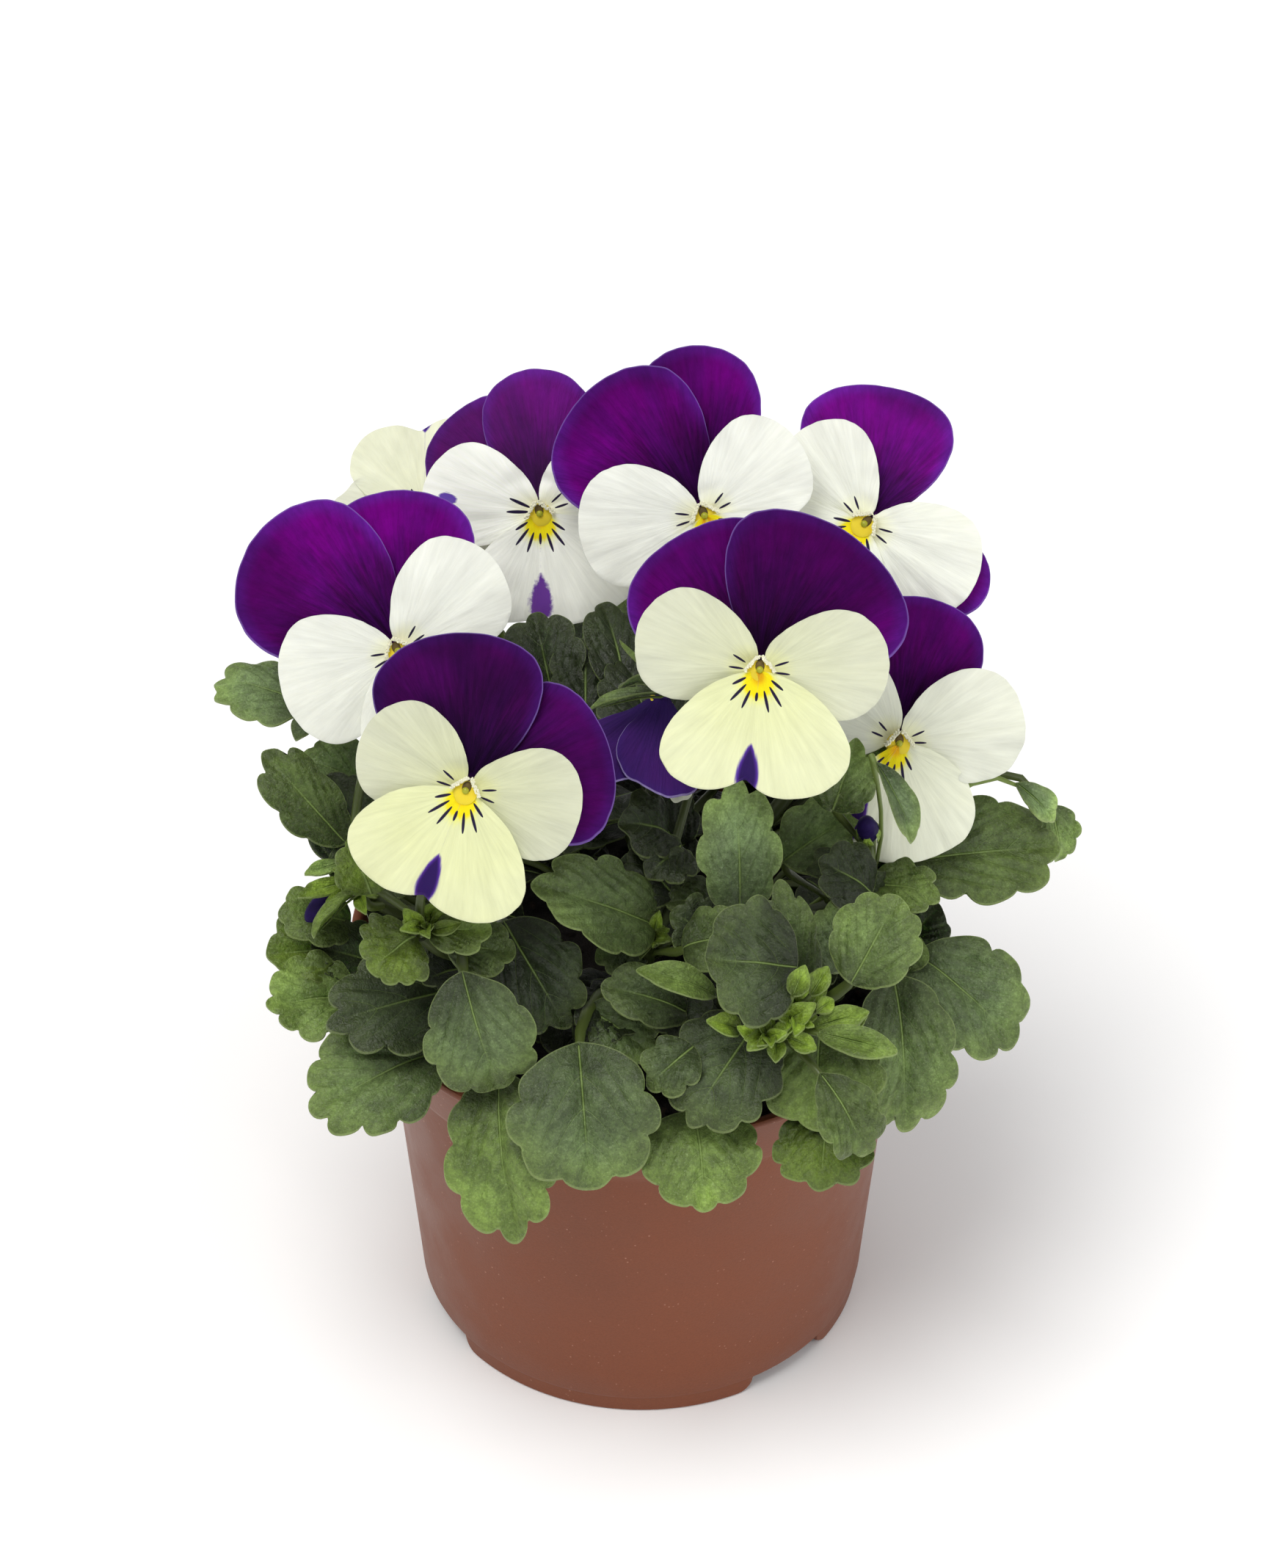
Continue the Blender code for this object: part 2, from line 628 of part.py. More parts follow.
def main():
    for obj in list(bpy.data.objects):
        discard(obj)
    build_pot()
    build_soil()
    for name in STEMS:
        build_stem(name)
    for name in BLOOMS:
        build_bloom(name)
    for name in BUDS:
        build_bud(name)


if __name__ == "__main__":
    main()
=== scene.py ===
"""The looks of a potted pansy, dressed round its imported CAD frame.

Laid out as an add-on: the sizes and colours are properties, each group of pieces has an operator,
and main() calls the operators in order. Lengths in the tables are millimetres, angles are degrees.
"""

import math
import random

import bmesh
import bpy
from bpy.props import FloatProperty, FloatVectorProperty, PointerProperty
from mathutils import Matrix, Vector, noise


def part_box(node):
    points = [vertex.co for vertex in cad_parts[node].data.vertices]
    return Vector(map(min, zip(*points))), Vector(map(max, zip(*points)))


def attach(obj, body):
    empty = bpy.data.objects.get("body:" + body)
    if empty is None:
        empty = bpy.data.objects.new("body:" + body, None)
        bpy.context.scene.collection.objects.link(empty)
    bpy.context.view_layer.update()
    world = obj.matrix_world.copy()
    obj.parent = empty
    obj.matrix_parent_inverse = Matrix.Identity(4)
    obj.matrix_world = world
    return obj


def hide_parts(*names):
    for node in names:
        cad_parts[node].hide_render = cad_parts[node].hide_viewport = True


bl_info = {
    "name": "Potted pansy",
    "version": (1, 0, 0),
    "blender": (4, 5, 0),
    "location": "View3D > Sidebar > Pansy",
    "description": "Dresses a potted pansy: pot, soil, leafy stems, blooms, buds and a studio",
    "category": "Object",
}

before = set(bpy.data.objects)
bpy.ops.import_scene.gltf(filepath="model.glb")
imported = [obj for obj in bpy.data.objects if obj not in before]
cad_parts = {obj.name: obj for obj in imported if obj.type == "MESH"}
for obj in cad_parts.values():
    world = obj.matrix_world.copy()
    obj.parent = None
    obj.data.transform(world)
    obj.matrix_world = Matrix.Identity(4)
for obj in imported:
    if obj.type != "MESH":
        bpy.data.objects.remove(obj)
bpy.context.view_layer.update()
MM = 0.001

# --- the plant's layout -----------------------------------------------------------------------

# Each stem: where it leaves the soil, its tip, and the direction its leaves turn their faces to.
STEMS = {
    "stem_front_left": ((-11, -9), (-38, -39, 117), (-0.2, -0.7, 1.0)),
    "stem_left": ((-14, 0), (-49, -18, 108), (-0.2, -0.6, 1.0)),
    "stem_front": ((0, -14), (1, -30, 106), (0.0, -0.6, 1.0)),
    "stem_front_right": ((10, -10), (23, -50, 104), (0.1, -0.8, 1.0)),
    "stem_right": ((15, 0), (40, -14, 107), (0.2, -0.6, 1.0)),
    "stem_back_left": ((-10, 11), (-30, 24, 112), (-0.2, -0.1, 1.0)),
    "stem_back": ((0, 15), (4, 34, 112), (0.0, 0.3, 1.0)),
    "stem_back_right": ((11, 10), (34, 26, 108), (0.2, 0.1, 1.0)),
}

# Each leaf: where its blade starts, its tip, its width, how young it is, from 0 for an old
# grey-green leaf to 1 for a fresh yellow-green one, how light it is painted (its own tone together
# with painted light and shade where it lies), and, where it isn't level across, its roll about the midrib.
LEAVES = {
    "stem_front_left": (
        ((-35, -38, 89), (-58, -48, 84), 21, 0.25, 0.55),
        ((-30, -30, 97), (-55, -42, 98), 20, 0.15, 0.2),
        ((-47, -28, 117), (-50, -28, 130), 10, 0.7, 0.45),
        ((-39, -40, 118), (-47, -46, 115), 15, 0.8, 0.25),
        ((-37, -40, 119), (-26, -42, 121), 9, 0.5, 0.4),
        ((-34, -36, 112), (-22, -38, 112), 10, 0.3, 0.5),
        ((-24, -30, 112), (-13, -40, 96), 18, 0.05, 0.2),
        ((-31, -44, 113), (-25, -52, 93), 20, 0.15, 0.55),
        ((-25, -45, 90), (-22, -65, 69), 22, 0.4, 0.6, 12),
        ((-38, -40, 119), (-41, -40, 124), 5, 1, 0.45),
        ((-37, -38, 118), (-35, -36, 122), 5, 1, 0.45),
    ),
    "stem_left": (
        ((-50, -27, 92), (-66, -33, 95), 17, 0.35, 0.75),
        ((-53, -20, 96), (-66, -24, 99), 14, 0.6, 0.45),
        ((-51, -16, 99), (-64, -20, 105), 12, 0.4, 0.4),
        ((-51, -20, 112), (-60, -26, 114), 5, 0.75, 0.45),
        ((-49, -24, 114), (-57, -32, 110), 7, 0.55, 0.45, 50),
        ((-52, -16, 113), (-59, -20, 114), 4, 0.3, 0.9),
        ((-47, -20, 113), (-40, -22, 112), 8, 0.35, 0.15),
        ((-52, -14, 116), (-66, -6, 130), 12, 0.35, 0.3),
        ((-49, 0, 117), (-60, 2, 122), 13, 0.2, 0.95),
        ((-48, -8, 103), (-55, -2, 122), 15, 0.15, 0.1),
        ((-45, -12, 103), (-50, -6, 116), 14, 0.15, 0.15),
        ((-46, -18, 90), (-58, -22, 99), 14, 0.15, 0.15),
        ((-47, -14, 106), (-52, -12, 117), 13, 0.1, 0.1),
    ),
    "stem_front": (
        ((-11, -48, 100), (-9, -64, 80), 27, 0.15, 0.55),
        ((-10, -36, 97), (2, -42, 91), 12, 0.2, 0.65),
        ((13, -46, 109), (-1, -48, 117), 8, 0.4, 0.6),
        ((8, -38, 98), (-7, -40, 106), 11, 0.2, 0.25),
        ((7, -38, 113), (18, -40, 118), 12, 0.3, 0.35),
        ((2, -28, 109), (-19, -36, 126), 17, 0.25, 0.55),
        ((17, -30, 114), (16, -22, 138), 15, 0.08, 1.1),
        ((13, -24, 111), (4, -26, 113), 9, 0.35, 0.15),
        ((9, -10, 114), (2, -16, 111), 12, 0, 0.1),
        ((5, -2, 111), (-3, -6, 112), 9, 0, 0.05),
        ((1, -26, 103), (-8, -30, 103), 10, 0.1, 0.45),
        ((1, -30, 106), (4, -28, 109), 5, 0.55, 0.45),
        ((7, -19, 120), (1, -26, 119), 12, 0.1, 0.1),
        ((5, -16, 120), (-4, -20, 126), 13, 0.1, 0.1),
        ((6, -25, 113), (-2, -20, 120), 13, 0.1, 0.12),
        ((11, -30, 109), (5, -30, 114), 12, 0.1, 0.2),
        ((7, -12, 112), (0, -8, 121), 15, 0.1, 0.08),
        ((5, -24, 112), (0, -18, 121), 13, 0.1, 0.08),
    ),
    "stem_front_right": (
        ((9, -50, 101), (1, -55, 96), 11, 0.2, 0.45),
        ((20, -44, 101), (8, -58, 90), 21, 0.2, 0.3),
        ((9, -50, 86), (11, -64, 75), 22, 0.4, 0.7),
        ((32, -48, 84), (31, -60, 76), 18, 0.7, 0.25),
        ((31, -42, 98), (30, -54, 85), 24, 0.4, 0.5),
        ((31, -56, 100), (39, -60, 85), 12, 0.35, 0.45),
        ((36, -46, 112), (44, -38, 125), 16, 0.3, 0.6),
        ((30, -52, 106), (44, -56, 105), 8, 0.45, 0.6),
        ((27, -40, 103), (24, -32, 123), 10, 0.25, 0.35),
        ((27, -44, 114), (11, -48, 120), 23, 0.2, 0.25),
        ((17, -49, 104), (11, -52, 109), 6, 0.8, 0.45),
        ((22, -52, 106), (18, -56, 106), 5, 1, 0.45),
        ((23, -52, 105), (23, -56, 103), 5, 1, 0.45),
        ((24, -50, 106), (30, -50, 111), 6, 0.9, 0.45),
        ((28, -46, 105), (31, -42, 112), 7, 0.85, 0.45),
        ((25, -52, 105), (30, -54, 104), 5, 0.9, 0.45),
        ((29, -50, 105), (39, -50, 109), 7, 0.6, 0.45),
        ((29, -49, 112), (32, -46, 116), 5, 0.8, 0.45),
        ((26, -50, 113), (28, -48, 118), 6, 0.75, 0.45),
        ((33, -49, 105), (39, -48, 107), 6.5, 0.8, 0.45),
        ((30, -50, 109), (33, -48, 110), 4.5, 0.85, 0.5),
    ),
    "stem_right": (
        ((44, -34, 103), (46, -48, 79), 19, 0.25, 0.6),
        ((48, -20, 95), (66, -30, 83), 21, 0.15, 0.65),
        ((35, -28, 98), (34, -22, 111), 13, 0.15, 0.7),
        ((40, -20, 112), (52, -26, 114), 11, 0.4, 0.45),
        ((47, -24, 95), (49, -22, 101), 7, 0.3, 0.45),
        ((25, -14, 112), (38, -6, 116), 14, 0.2, 1),
        ((33, -20, 129), (37, -18, 143), 12, 0.3, 0.6),
        ((40, -28, 147), (46, -34, 134), 8, 0, 0.7, -12),
        ((39, -12, 107), (29, -18, 113), 10, 0.05, 0.2),
        ((40, -12, 106), (45, -12, 114), 8, 0.1, 0.05),
        ((46, -8, 106), (74, 0, 103), 20, 0.35, 0.4),
        ((66, 2, 116), (73, 0, 109), 8, 0.1, 1.25),
        ((73, 8, 105), (75, 6, 94), 9, 0.3, 0.9),
        ((40, -24, 113), (31, -24, 121), 13, 0.15, 0.1),
        ((47, -18, 101), (36, -26, 115), 13, 0.15, 0.1),
        ((47, -8, 86), (53, -6, 94), 11, 0.1, 0.1),
    ),
    "stem_back_left": (
        ((-58, 12, 126), (-76, 18, 126), 15, 0.15, 0.9),
        ((-57, 6, 128), (-61, 2, 126), 7, 0.1, 0.3),
        ((-26, 28, 122), (-25, 32, 126), 8, 0.7, 0.45),
        ((-15, 8, 126), (-19, 24, 136.5), 15, 0.1, 0.15),
        ((-41, 8, 122), (-48, 14, 133), 14, 0.15, 0.05),
    ),
    "stem_back": (
        ((4, -10, 147), (-9, -12, 145), 5.5, 0.25, 0.5),
        ((4, -10, 148), (-4, -16, 153), 4.5, 0.25, 0.35, 40),
        ((-3, 8, 132), (-7, 24, 139), 12, 0.15, 0.15),
        ((-11, 20, 129), (-10, 28, 132), 8, 0.1, 0.15),
        ((-10, 4, 127), (-10, 20, 134), 13, 0.1, 0.1),
        ((1, 2, 126), (-3, 14, 135), 17, 0.1, 0.1),
    ),
    "stem_back_right": (),
}

# Leaves round the back, set out by rule: for each back stem its outward direction, the number of
# leaves, and the angle they are spread over.
BACK_LEAVES = {
    "stem_back_left": (-116.0, 9, 110.0),
    "stem_back": (180.0, 8, 110.0),
    "stem_back_right": (104.0, 10, 120.0),
}
BACK_LEAF_LENGTH = 19.0
BACK_LEAF_REACH = 15.0

# Hearts of tiny new leaves at the growing tips: the stem, the middle and how light they are painted,
# their own tone together with painted light and shade.
ROSETTES = (
    ("stem_front_right", (21.5, -52.5, 105), 0.6),
    ("stem_front_right", (26.5, -49, 107), 0.6),
    ("stem_front_left", (-37, -40, 119), 0.3),
    ("stem_front", (2, -29.5, 107), 0.2),
    ("stem_left", (-49.5, -21.5, 112), 0.4),
)

# Leaves that close the plant's heart, painted dark as painted shade, set out by rule: for each stem
# the outward direction of the fan, its spread and the number of leaves.
HEART_LEAVES = {
    "stem_front_left": (-38.0, 90.0, 7),
    "stem_left": (-84.0, 80.0, 6),
    "stem_front": (-4.0, 130.0, 8),
    "stem_front_right": (28.0, 90.0, 7),
    "stem_right": (66.0, 90.0, 7),
    "stem_back_left": (-140.0, 100.0, 7),
    "stem_back": (180.0, 300.0, 9),
    "stem_back_right": (130.0, 100.0, 7),
}

# Each bloom: the stem it grows from, the middle of its throat, the way it faces (azimuth from -Y
# towards +X, elevation, clockwise roll), how far its petals close forward, and for the upper
# left, upper right, left, right and lip petals the angle from its top, the length and the width.
BLOOMS = {
    "bloom_1": ("stem_front_left", (-30, -38, 149), (-4, 38, 17), 0,
                ((-25, 27, 32), (55, 25, 31), (-79, 20, 20), (81, 20, 20), (183, 21.5, 34))),
    "bloom_2": ("stem_front_right", (20, -24, 164), (3, 42, 5), 0,
                ((-33, 27, 32), (32, 28, 38), (-73, 22, 20), (82, 22, 20), (180, 22.5, 34))),
    "bloom_3": ("stem_left", (-42, -6, 153), (-12, 38, -36), 0,
                ((-26, 33, 32), (22, 28, 30), (-82, 22, 24), (72, 23, 22), (180, 22, 30))),
    "bloom_4": ("stem_back_left", (-18, 33, 152), (-5, 25, -14), 0,
                ((-38, 23, 25), (10, 25, 22), (-66, 21, 20), (70, 20, 18), (179, 20.5, 33))),
    "bloom_5": ("stem_back", (11, 20, 162), (0, 38, -23), 0,
                ((-23, 30, 32), (20, 30, 24), (-74, 22, 23), (73, 21, 21), (180, 22, 30))),
    "bloom_6": ("stem_back_right", (39, 26, 155.3), (-4, 40, 43), 0,
                ((-38, 25, 30), (76, 25, 17), (-76, 20, 18), (72, 22, 21), (180, 21, 30))),
    "bloom_7": ("stem_right", (45, -3.5, 129.8), (14, 30, 10), 0,
                ((-42, 26, 28), (14, 26, 26), (-56, 18, 20), (77, 23, 22), (168, 21, 26))),
    "bloom_8": ("stem_back_left", (-39, 45, 142), (-76, 82, 104), 0,
                ((-45, 20, 22), (6, 18, 18), (-84, 20, 21), (112, 18, 20), (190, 25.5, 36))),
    "bloom_9": ("stem_front", (3, -4, 139), (-40, -60, 20), 50,
                ((-30, 15.5, 18), (30, 15, 18), (-70, 11, 11), (70, 11, 11), (180, 11, 14))),
}

# How each bloom is coloured: cream in its pale petals (below 0 they only grow lighter, as painted
# light), and paleness (or, below 0, depth) and blueness of its purple ones.
BLOOM_TONES = {
    "bloom_1": (0.95, -0.95, 0.05),
    "bloom_2": (0.85, -0.55, 0.0),
    "bloom_3": (0.05, -0.2, 0.0),
    "bloom_4": (-0.7, 0.2, 0.0),
    "bloom_5": (0.0, -0.25, 0.0),
    "bloom_6": (0.1, 0.05, 0.0),
    "bloom_7": (0.35, -0.3, 0.0),
    "bloom_8": (0.45, 0.2, 0.0),
    "bloom_9": (0.5, 0.0, 0.8),
}

# For the five petals, in the order of a bloom's list: depth at the throat, lean, bend of the
# sides, start beyond the throat, and depth of the notch at the far edge.
PETAL_FORMS = (
    (-3.8, -6, -2.2, 1.0, 0.0),
    (-2.7, -4, -1.4, 1.0, 0.0),
    (-1.2, 2, -1.5, 1.0, 0.0),
    (-1.0, 2, -1.5, 1.0, 0.0),
    (0.0, 4, -2.0, 0.0, 0.25),
)
PURPLE_PETALS = (0, 1)
PALE_PETALS = (2, 3, 4)
LIP = 4

# How far aside the side petals' narrow ends are moved, towards the top of the bloom.
SIDE_RISE = {2: 1.4, 3: -1.4}

# Blooms whose pale petals are cream. The others' are white.
CREAM_BLOOMS = ("bloom_1", "bloom_2", "bloom_8")

# Blooms whose upper left petal lies over the upper right one.
LEFT_OVER_RIGHT = ("bloom_1", "bloom_3", "bloom_5", "bloom_9")

# Blooms that are still half open: their sepals curl back.
HALF_OPEN = ("bloom_9",)

# Upper petals that are lighter than their bloom's other one.
UPPER_LIGHT = {("bloom_2", 0): 0.4, ("bloom_1", 1): 0.1}

# How far the lip's notch and its violet drop are turned from the middle of the lip.
LIP_TURN = {"bloom_2": 4.0, "bloom_4": 12.0, "bloom_7": 40.0, "bloom_8": -10.0}

# Petals marked otherwise than the rest: 0.25 is a side petal with bold strokes and a smudge, 0.85
# a lip with a fuzzy drop and 1.2 a lip with a short one.
MARKINGS = {("bloom_4", 2): 0.25, ("bloom_4", 4): 0.85, ("bloom_8", 4): 1.2}

# Lips whose notch is deeper or shallower than the others'.
LIP_NOTCH = {"bloom_2": 0.4, "bloom_4": 0.14}

# Each pedicel: how far along its stem it starts, a point it passes (or None), and how long it
# runs straight behind the bloom.
PEDICELS = {
    "bloom_1": (1.0, None, 11),
    "bloom_2": (0.62, (21, -11, 124), 11),
    "bloom_3": (1.0, None, 13),
    "bloom_4": (0.75, (-15, 42, 128), 11),
    "bloom_5": (1.0, None, 13),
    "bloom_6": (1.0, None, 13),
    "bloom_7": (0.95, (42, 6, 112), 11),
    "bloom_8": (0.9, None, 14),
    "bloom_9": (0.9, (12, 0, 132), 16),
}

# Each unopened bud: its stem, its middle and its tip.
BUDS = {
    "bud_left": ("stem_left", (-56, -22, 108.5), (-58.8, -24.5, 107)),
    "bud_right": ("stem_right", (39.3, -18, 123), (38.8, -20, 126.5)),
}


def linear(red, green, blue):
    """A display colour, 0 to 255 a channel, as the linear colour that shaders take."""
    shares = (channel / 255 for channel in (red, green, blue))
    return tuple(c / 12.92 if c <= 0.04 else ((c + 0.055) / 1.055) ** 2.4 for c in shares)


# --- settings a user would change -------------------------------------------------------------

def colour(name, description, default):
    return FloatVectorProperty(name=name, description=description, default=default, subtype="COLOR",
                               min=0.0, max=1.0, size=3)


def measure(name, description, default):
    return FloatProperty(name=name, description=description, default=default, unit="LENGTH")


class PotSettings(bpy.types.PropertyGroup):
    height: measure("Height", "From the ground to the top of the lip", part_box("pot")[1][2])
    lip_radius: measure("Lip radius", "Outer radius of the lip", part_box("pot")[1][0])
    shell: colour("Shell", "Colour of the moulded plastic", linear(122, 69, 46))
    speck: colour("Specks", "Colour of the pale specks in the plastic", linear(186, 138, 116))
    soil: colour("Soil", "Colour of the damp soil", linear(24, 18, 13))


class FoliageSettings(bpy.types.PropertyGroup):
    thickness: measure("Blade thickness", "Thickness of a leaf", 0.0004)
    tooth_depth: FloatProperty(name="Tooth depth", description="Depth of the notches round a leaf's edge",
                               default=0.19, min=0.0, max=0.3)
    old_leaf: colour("Old leaf", "Colour of the older, grey-green leaves", linear(70, 84, 54))
    young_leaf: colour("Young leaf", "Colour of the fresh leaves at the tips", linear(112, 136, 40))
    vein: colour("Midrib", "Colour of the midribs and stalks", linear(132, 156, 84))


class BloomSettings(bpy.types.PropertyGroup):
    thickness: measure("Petal thickness", "Thickness of a petal", 0.00035)
    ruffle: measure("Ruffle", "Height of the waves along the petals' edges", 0.0006)
    white: colour("White", "Colour of the white petals", linear(240, 242, 230))
    cream: colour("Cream", "Colour of the cream petals", linear(234, 238, 184))
    purple: colour("Purple", "Colour of the middle of the upper petals", linear(96, 0, 108))
    rim: colour("Rim", "Colour of the upper petals near their edges", linear(84, 26, 132))
    heart: colour("Heart", "Colour of the yellow patch at the throat", linear(236, 172, 6))
    whisker: colour("Whiskers", "Colour of the fine dark lines", linear(26, 16, 52))


class StudioSettings(bpy.types.PropertyGroup):
    floor: colour("Floor", "Colour of the floor", (1.0, 1.0, 1.0))
    key: FloatProperty(name="Key light", description="Strength of the main light", default=1.95, min=0.0)
    fill: FloatProperty(name="Fill light", description="Strength of the side light", default=2.6,
                        unit="POWER")
    sky: FloatProperty(name="Surround", description="Strength of the white surround", default=0.52,
                       min=0.0)


# --- materials --------------------------------------------------------------------------------

class Value:
    """A number, vector or colour inside a material, so that sums can be written as sums."""

    def __init__(self, made, socket):
        self.made, self.socket = made, socket

    def __add__(self, other):
        return self.made.maths("ADD", self, other)

    def __sub__(self, other):
        return self.made.maths("SUBTRACT", self, other)

    def __mul__(self, other):
        return self.made.maths("MULTIPLY", self, other)

    def __truediv__(self, other):
        return self.made.maths("DIVIDE", self, other)

    def __pow__(self, other):
        return self.made.maths("POWER", self, other)

    def __abs__(self):
        return self.made.maths("ABSOLUTE", self)


class Finish:
    """A material in the making. Its methods add a node and give back what comes out of it."""

    def __init__(self, name, roughness, soft=None, **fixed):
        """Soft is how much light passes into the surface, and how far, for red, green and blue."""
        if soft:
            fixed.update(Subsurface_Weight=soft[0], Subsurface_Radius=soft[1:], Subsurface_Scale=1.0)
        self.material = bpy.data.materials.new(name)
        self.material.use_nodes = True
        self.nodes = self.material.node_tree.nodes
        self.shader = self.nodes["Principled BSDF"]
        for socket, value in {"Roughness": roughness, **fixed}.items():
            self.shader.inputs[socket.replace("_", " ")].default_value = value

    def put(self, socket, value):
        if isinstance(value, Value):
            self.material.node_tree.links.new(value.socket, socket)
        else:
            socket.default_value = (*value, 1) if socket.type == "RGBA" else value

    def set(self, name, value):
        self.put(self.shader.inputs[name], value)

    def node(self, kind, *values, **choices):
        """A node with these choices made and these values in its first sockets."""
        node = self.nodes.new("ShaderNode" + kind)
        for name, value in choices.items():
            setattr(node, name, value)
        for socket, value in zip(node.inputs, values):
            self.put(socket, value)
        return node

    def maths(self, operation, *values, clamp=False):
        return Value(self, self.node("Math", *values, operation=operation, use_clamp=clamp).outputs[0])

    def attribute(self, name):
        """The three numbers that the mesh carries at each point under this name."""
        carried = Value(self, self.node("Attribute", attribute_name=name).outputs["Vector"])
        return [Value(self, socket) for socket in self.node("SeparateXYZ", carried).outputs]

    def place(self):
        return Value(self, self.node("TexCoord").outputs["Object"])

    def join(self, x, y, z):
        return Value(self, self.node("CombineXYZ", x, y, z).outputs[0])

    def ramp(self, value, low, high, start=0.0, end=1.0):
        """A smooth change from start to end as the value goes from low to high."""
        smooth = self.node("MapRange", value, low, high, start, end, interpolation_type="SMOOTHSTEP")
        return Value(self, smooth.outputs[0])

    def noise(self, vector, scale, detail=3.0, rough=0.5):
        node = self.node("TexNoise")
        for name, value in (("Vector", vector), ("Scale", scale), ("Detail", detail), ("Roughness", rough)):
            self.put(node.inputs[name], value)
        return Value(self, node.outputs["Fac"])

    def spots(self, vector, scale):
        node = self.node("TexVoronoi", vector)
        node.inputs["Scale"].default_value = scale
        return Value(self, node.outputs["Distance"])

    def mix(self, factor, first, second, blend="MIX"):
        node = self.node("Mix", data_type="RGBA", blend_type=blend)
        self.put(node.inputs["Factor"], factor)
        for letter, value in (("A", first), ("B", second)):
            self.put(next(s for s in node.inputs if s.name == letter and s.type == "RGBA"), value)
        return Value(self, next(s for s in node.outputs if s.type == "RGBA"))

    def shade(self, colour, value, low, high):
        """The colour made darker or lighter: by low where the value is 0 and by high where it is 1."""
        level = self.maths("MULTIPLY_ADD", value, high - low, low)
        return self.mix(1.0, colour, self.join(level, level, level), "MULTIPLY")

    def bump(self, height, distance, strength=1.0):
        node = self.node("Bump")
        for name, value in (("Height", height), ("Distance", distance), ("Strength", strength)):
            self.put(node.inputs[name], value)
        self.set("Normal", Value(self, node.outputs[0]))


def pot_finish():
    """Satin recycled plastic, brown terracotta with fine pale specks."""
    settings = bpy.context.scene.pot_settings
    made = Finish("pot_plastic", 0.5, Specular_IOR_Level=0.2)
    place = made.place()
    fine = made.noise(place, 2600.0, 2.0, 0.6)
    coarse = made.noise(place, 60.0, 4.0, 0.6)
    specks = made.ramp(made.spots(place, 900.0), 0.05, 0.22, 1.0, 0.0)
    rare = made.ramp(made.noise(place, 420.0, 1.0), 0.56, 0.66)
    body = made.shade(settings.shell[:], fine, 0.84, 1.16)
    body = made.shade(body, coarse, 0.88, 1.12)
    made.set("Base Color", made.mix(specks * rare * 0.6, body, settings.speck[:]))
    made.set("Roughness", made.ramp(coarse, 0.3, 0.7, 0.36, 0.5))
    made.bump(fine + coarse * 0.6, 0.00006, 0.6)


def soil_finish():
    """Damp crumbly soil, dark with paler fibres."""
    settings = bpy.context.scene.pot_settings
    made = Finish("damp_soil", 0.9)
    place = made.place()
    crumbs = made.noise(place, 700.0, 5.0, 0.7)
    fibres = made.ramp(made.noise(place, 240.0, 2.0), 0.6, 0.72)
    body = made.shade(settings.soil[:], crumbs, 0.4, 1.8)
    made.set("Base Color", made.mix(fibres * 0.5, body, linear(92, 70, 50)))
    made.bump(crumbs, 0.0012)


def leaf_finish():
    """A downy leaf: grey-green or fresh green, pale midrib and edge, sunk side veins with painted shade in
    their creases, painted light and shade over the blade, and a painted sparkle.
    """
    settings = bpy.context.scene.foliage_settings
    made = Finish("leaf_blade", 0.46, (0.05, 0.0006, 0.0012, 0.0003), Specular_IOR_Level=0.35)
    across, along, edge = made.attribute("flat")
    youth, tone_and_painted_light, width = made.attribute("tint")
    place = made.place()
    aside = abs(across)
    body = made.mix(made.ramp(youth, 0.0, 1.0), settings.old_leaf[:], settings.young_leaf[:])
    # Fresher towards the tip and the edge. Then painted light and shade of the leaf's bulge: darker
    # near the base and at the very edge, lighter across the middle and tip.
    body = made.mix(made.ramp(along * 0.5 + edge, 0.7, 1.5) * 0.4, body, linear(104, 124, 52))
    body = made.shade(body, made.ramp(along, 0.0, 0.75), 0.6, 1.2)
    body = made.shade(body, made.ramp(edge, 0.55, 1.0), 1.06, 0.84)
    # How light each leaf is painted: its own tone together with painted light and shade where it lies.
    body = made.shade(body, tone_and_painted_light, 0.08, 2.0)
    cloud = made.noise(place, 110.0, 4.0, 0.6)
    mottle = made.noise(place, 750.0, 3.0, 0.6)
    grain = made.noise(place, 2600.0, 3.0, 0.7)
    # Broad clouds of painted light and shade over the leaf's uneven surface, then finer mottling and grain.
    body = made.shade(body, made.ramp(cloud, 0.36, 0.64), 0.7, 1.26)
    body = made.shade(body, made.ramp(mottle, 0.36, 0.64), 0.82, 1.16)
    body = made.shade(body, grain, 0.45, 1.55)
    # Side veins leave the midrib at a low angle, curve outwards and fade towards the edge.
    wave = abs(made.maths("SINE", (along * 4.5 - aside ** 1.4 * 4.0) * math.pi))
    vein = made.ramp(wave, 0.0, 0.12, 1.0, 0.0) * made.ramp(edge, 1.0, 0.6)
    # Painted shade in the sunk creases along the side veins.
    body = made.shade(body, made.ramp(wave, 0.6, 0.0) * made.ramp(edge, 1.0, 0.5), 1.0, 0.93)
    body = made.mix(vein * 0.24, body, settings.vein[:])
    rib = made.ramp(aside * width * 0.5, 0.05, 0.34, 1.0, 0.0) * made.ramp(along, 0.9, 0.25)
    body = made.mix(rib * 0.7, body, settings.vein[:])
    body = made.mix(made.ramp(edge, 0.975, 0.998) * (tone_and_painted_light * 0.4 + 0.25), body, linear(136, 152, 92))
    # Painted sparkle of light on the fine down, stronger on lighter leaves.
    body = made.mix(made.ramp(grain, 0.58, 0.72) * (tone_and_painted_light * 0.2 + 0.02), body, linear(190, 198, 172))
    made.set("Base Color", body)
    made.set("Roughness", made.ramp(cloud, 0.3, 0.7, 0.36, 0.5))
    net = made.noise(place, 1100.0, 3.0, 0.65)
    made.bump(net * 0.8 - vein * 0.12 - rib * 0.6, 0.0006, 0.9)


def mottled(made, colour, scale, low, high, detail=2.0):
    """The colour, broken up by fine noise."""
    return made.shade(colour, made.noise(made.place(), scale, detail), low, high)


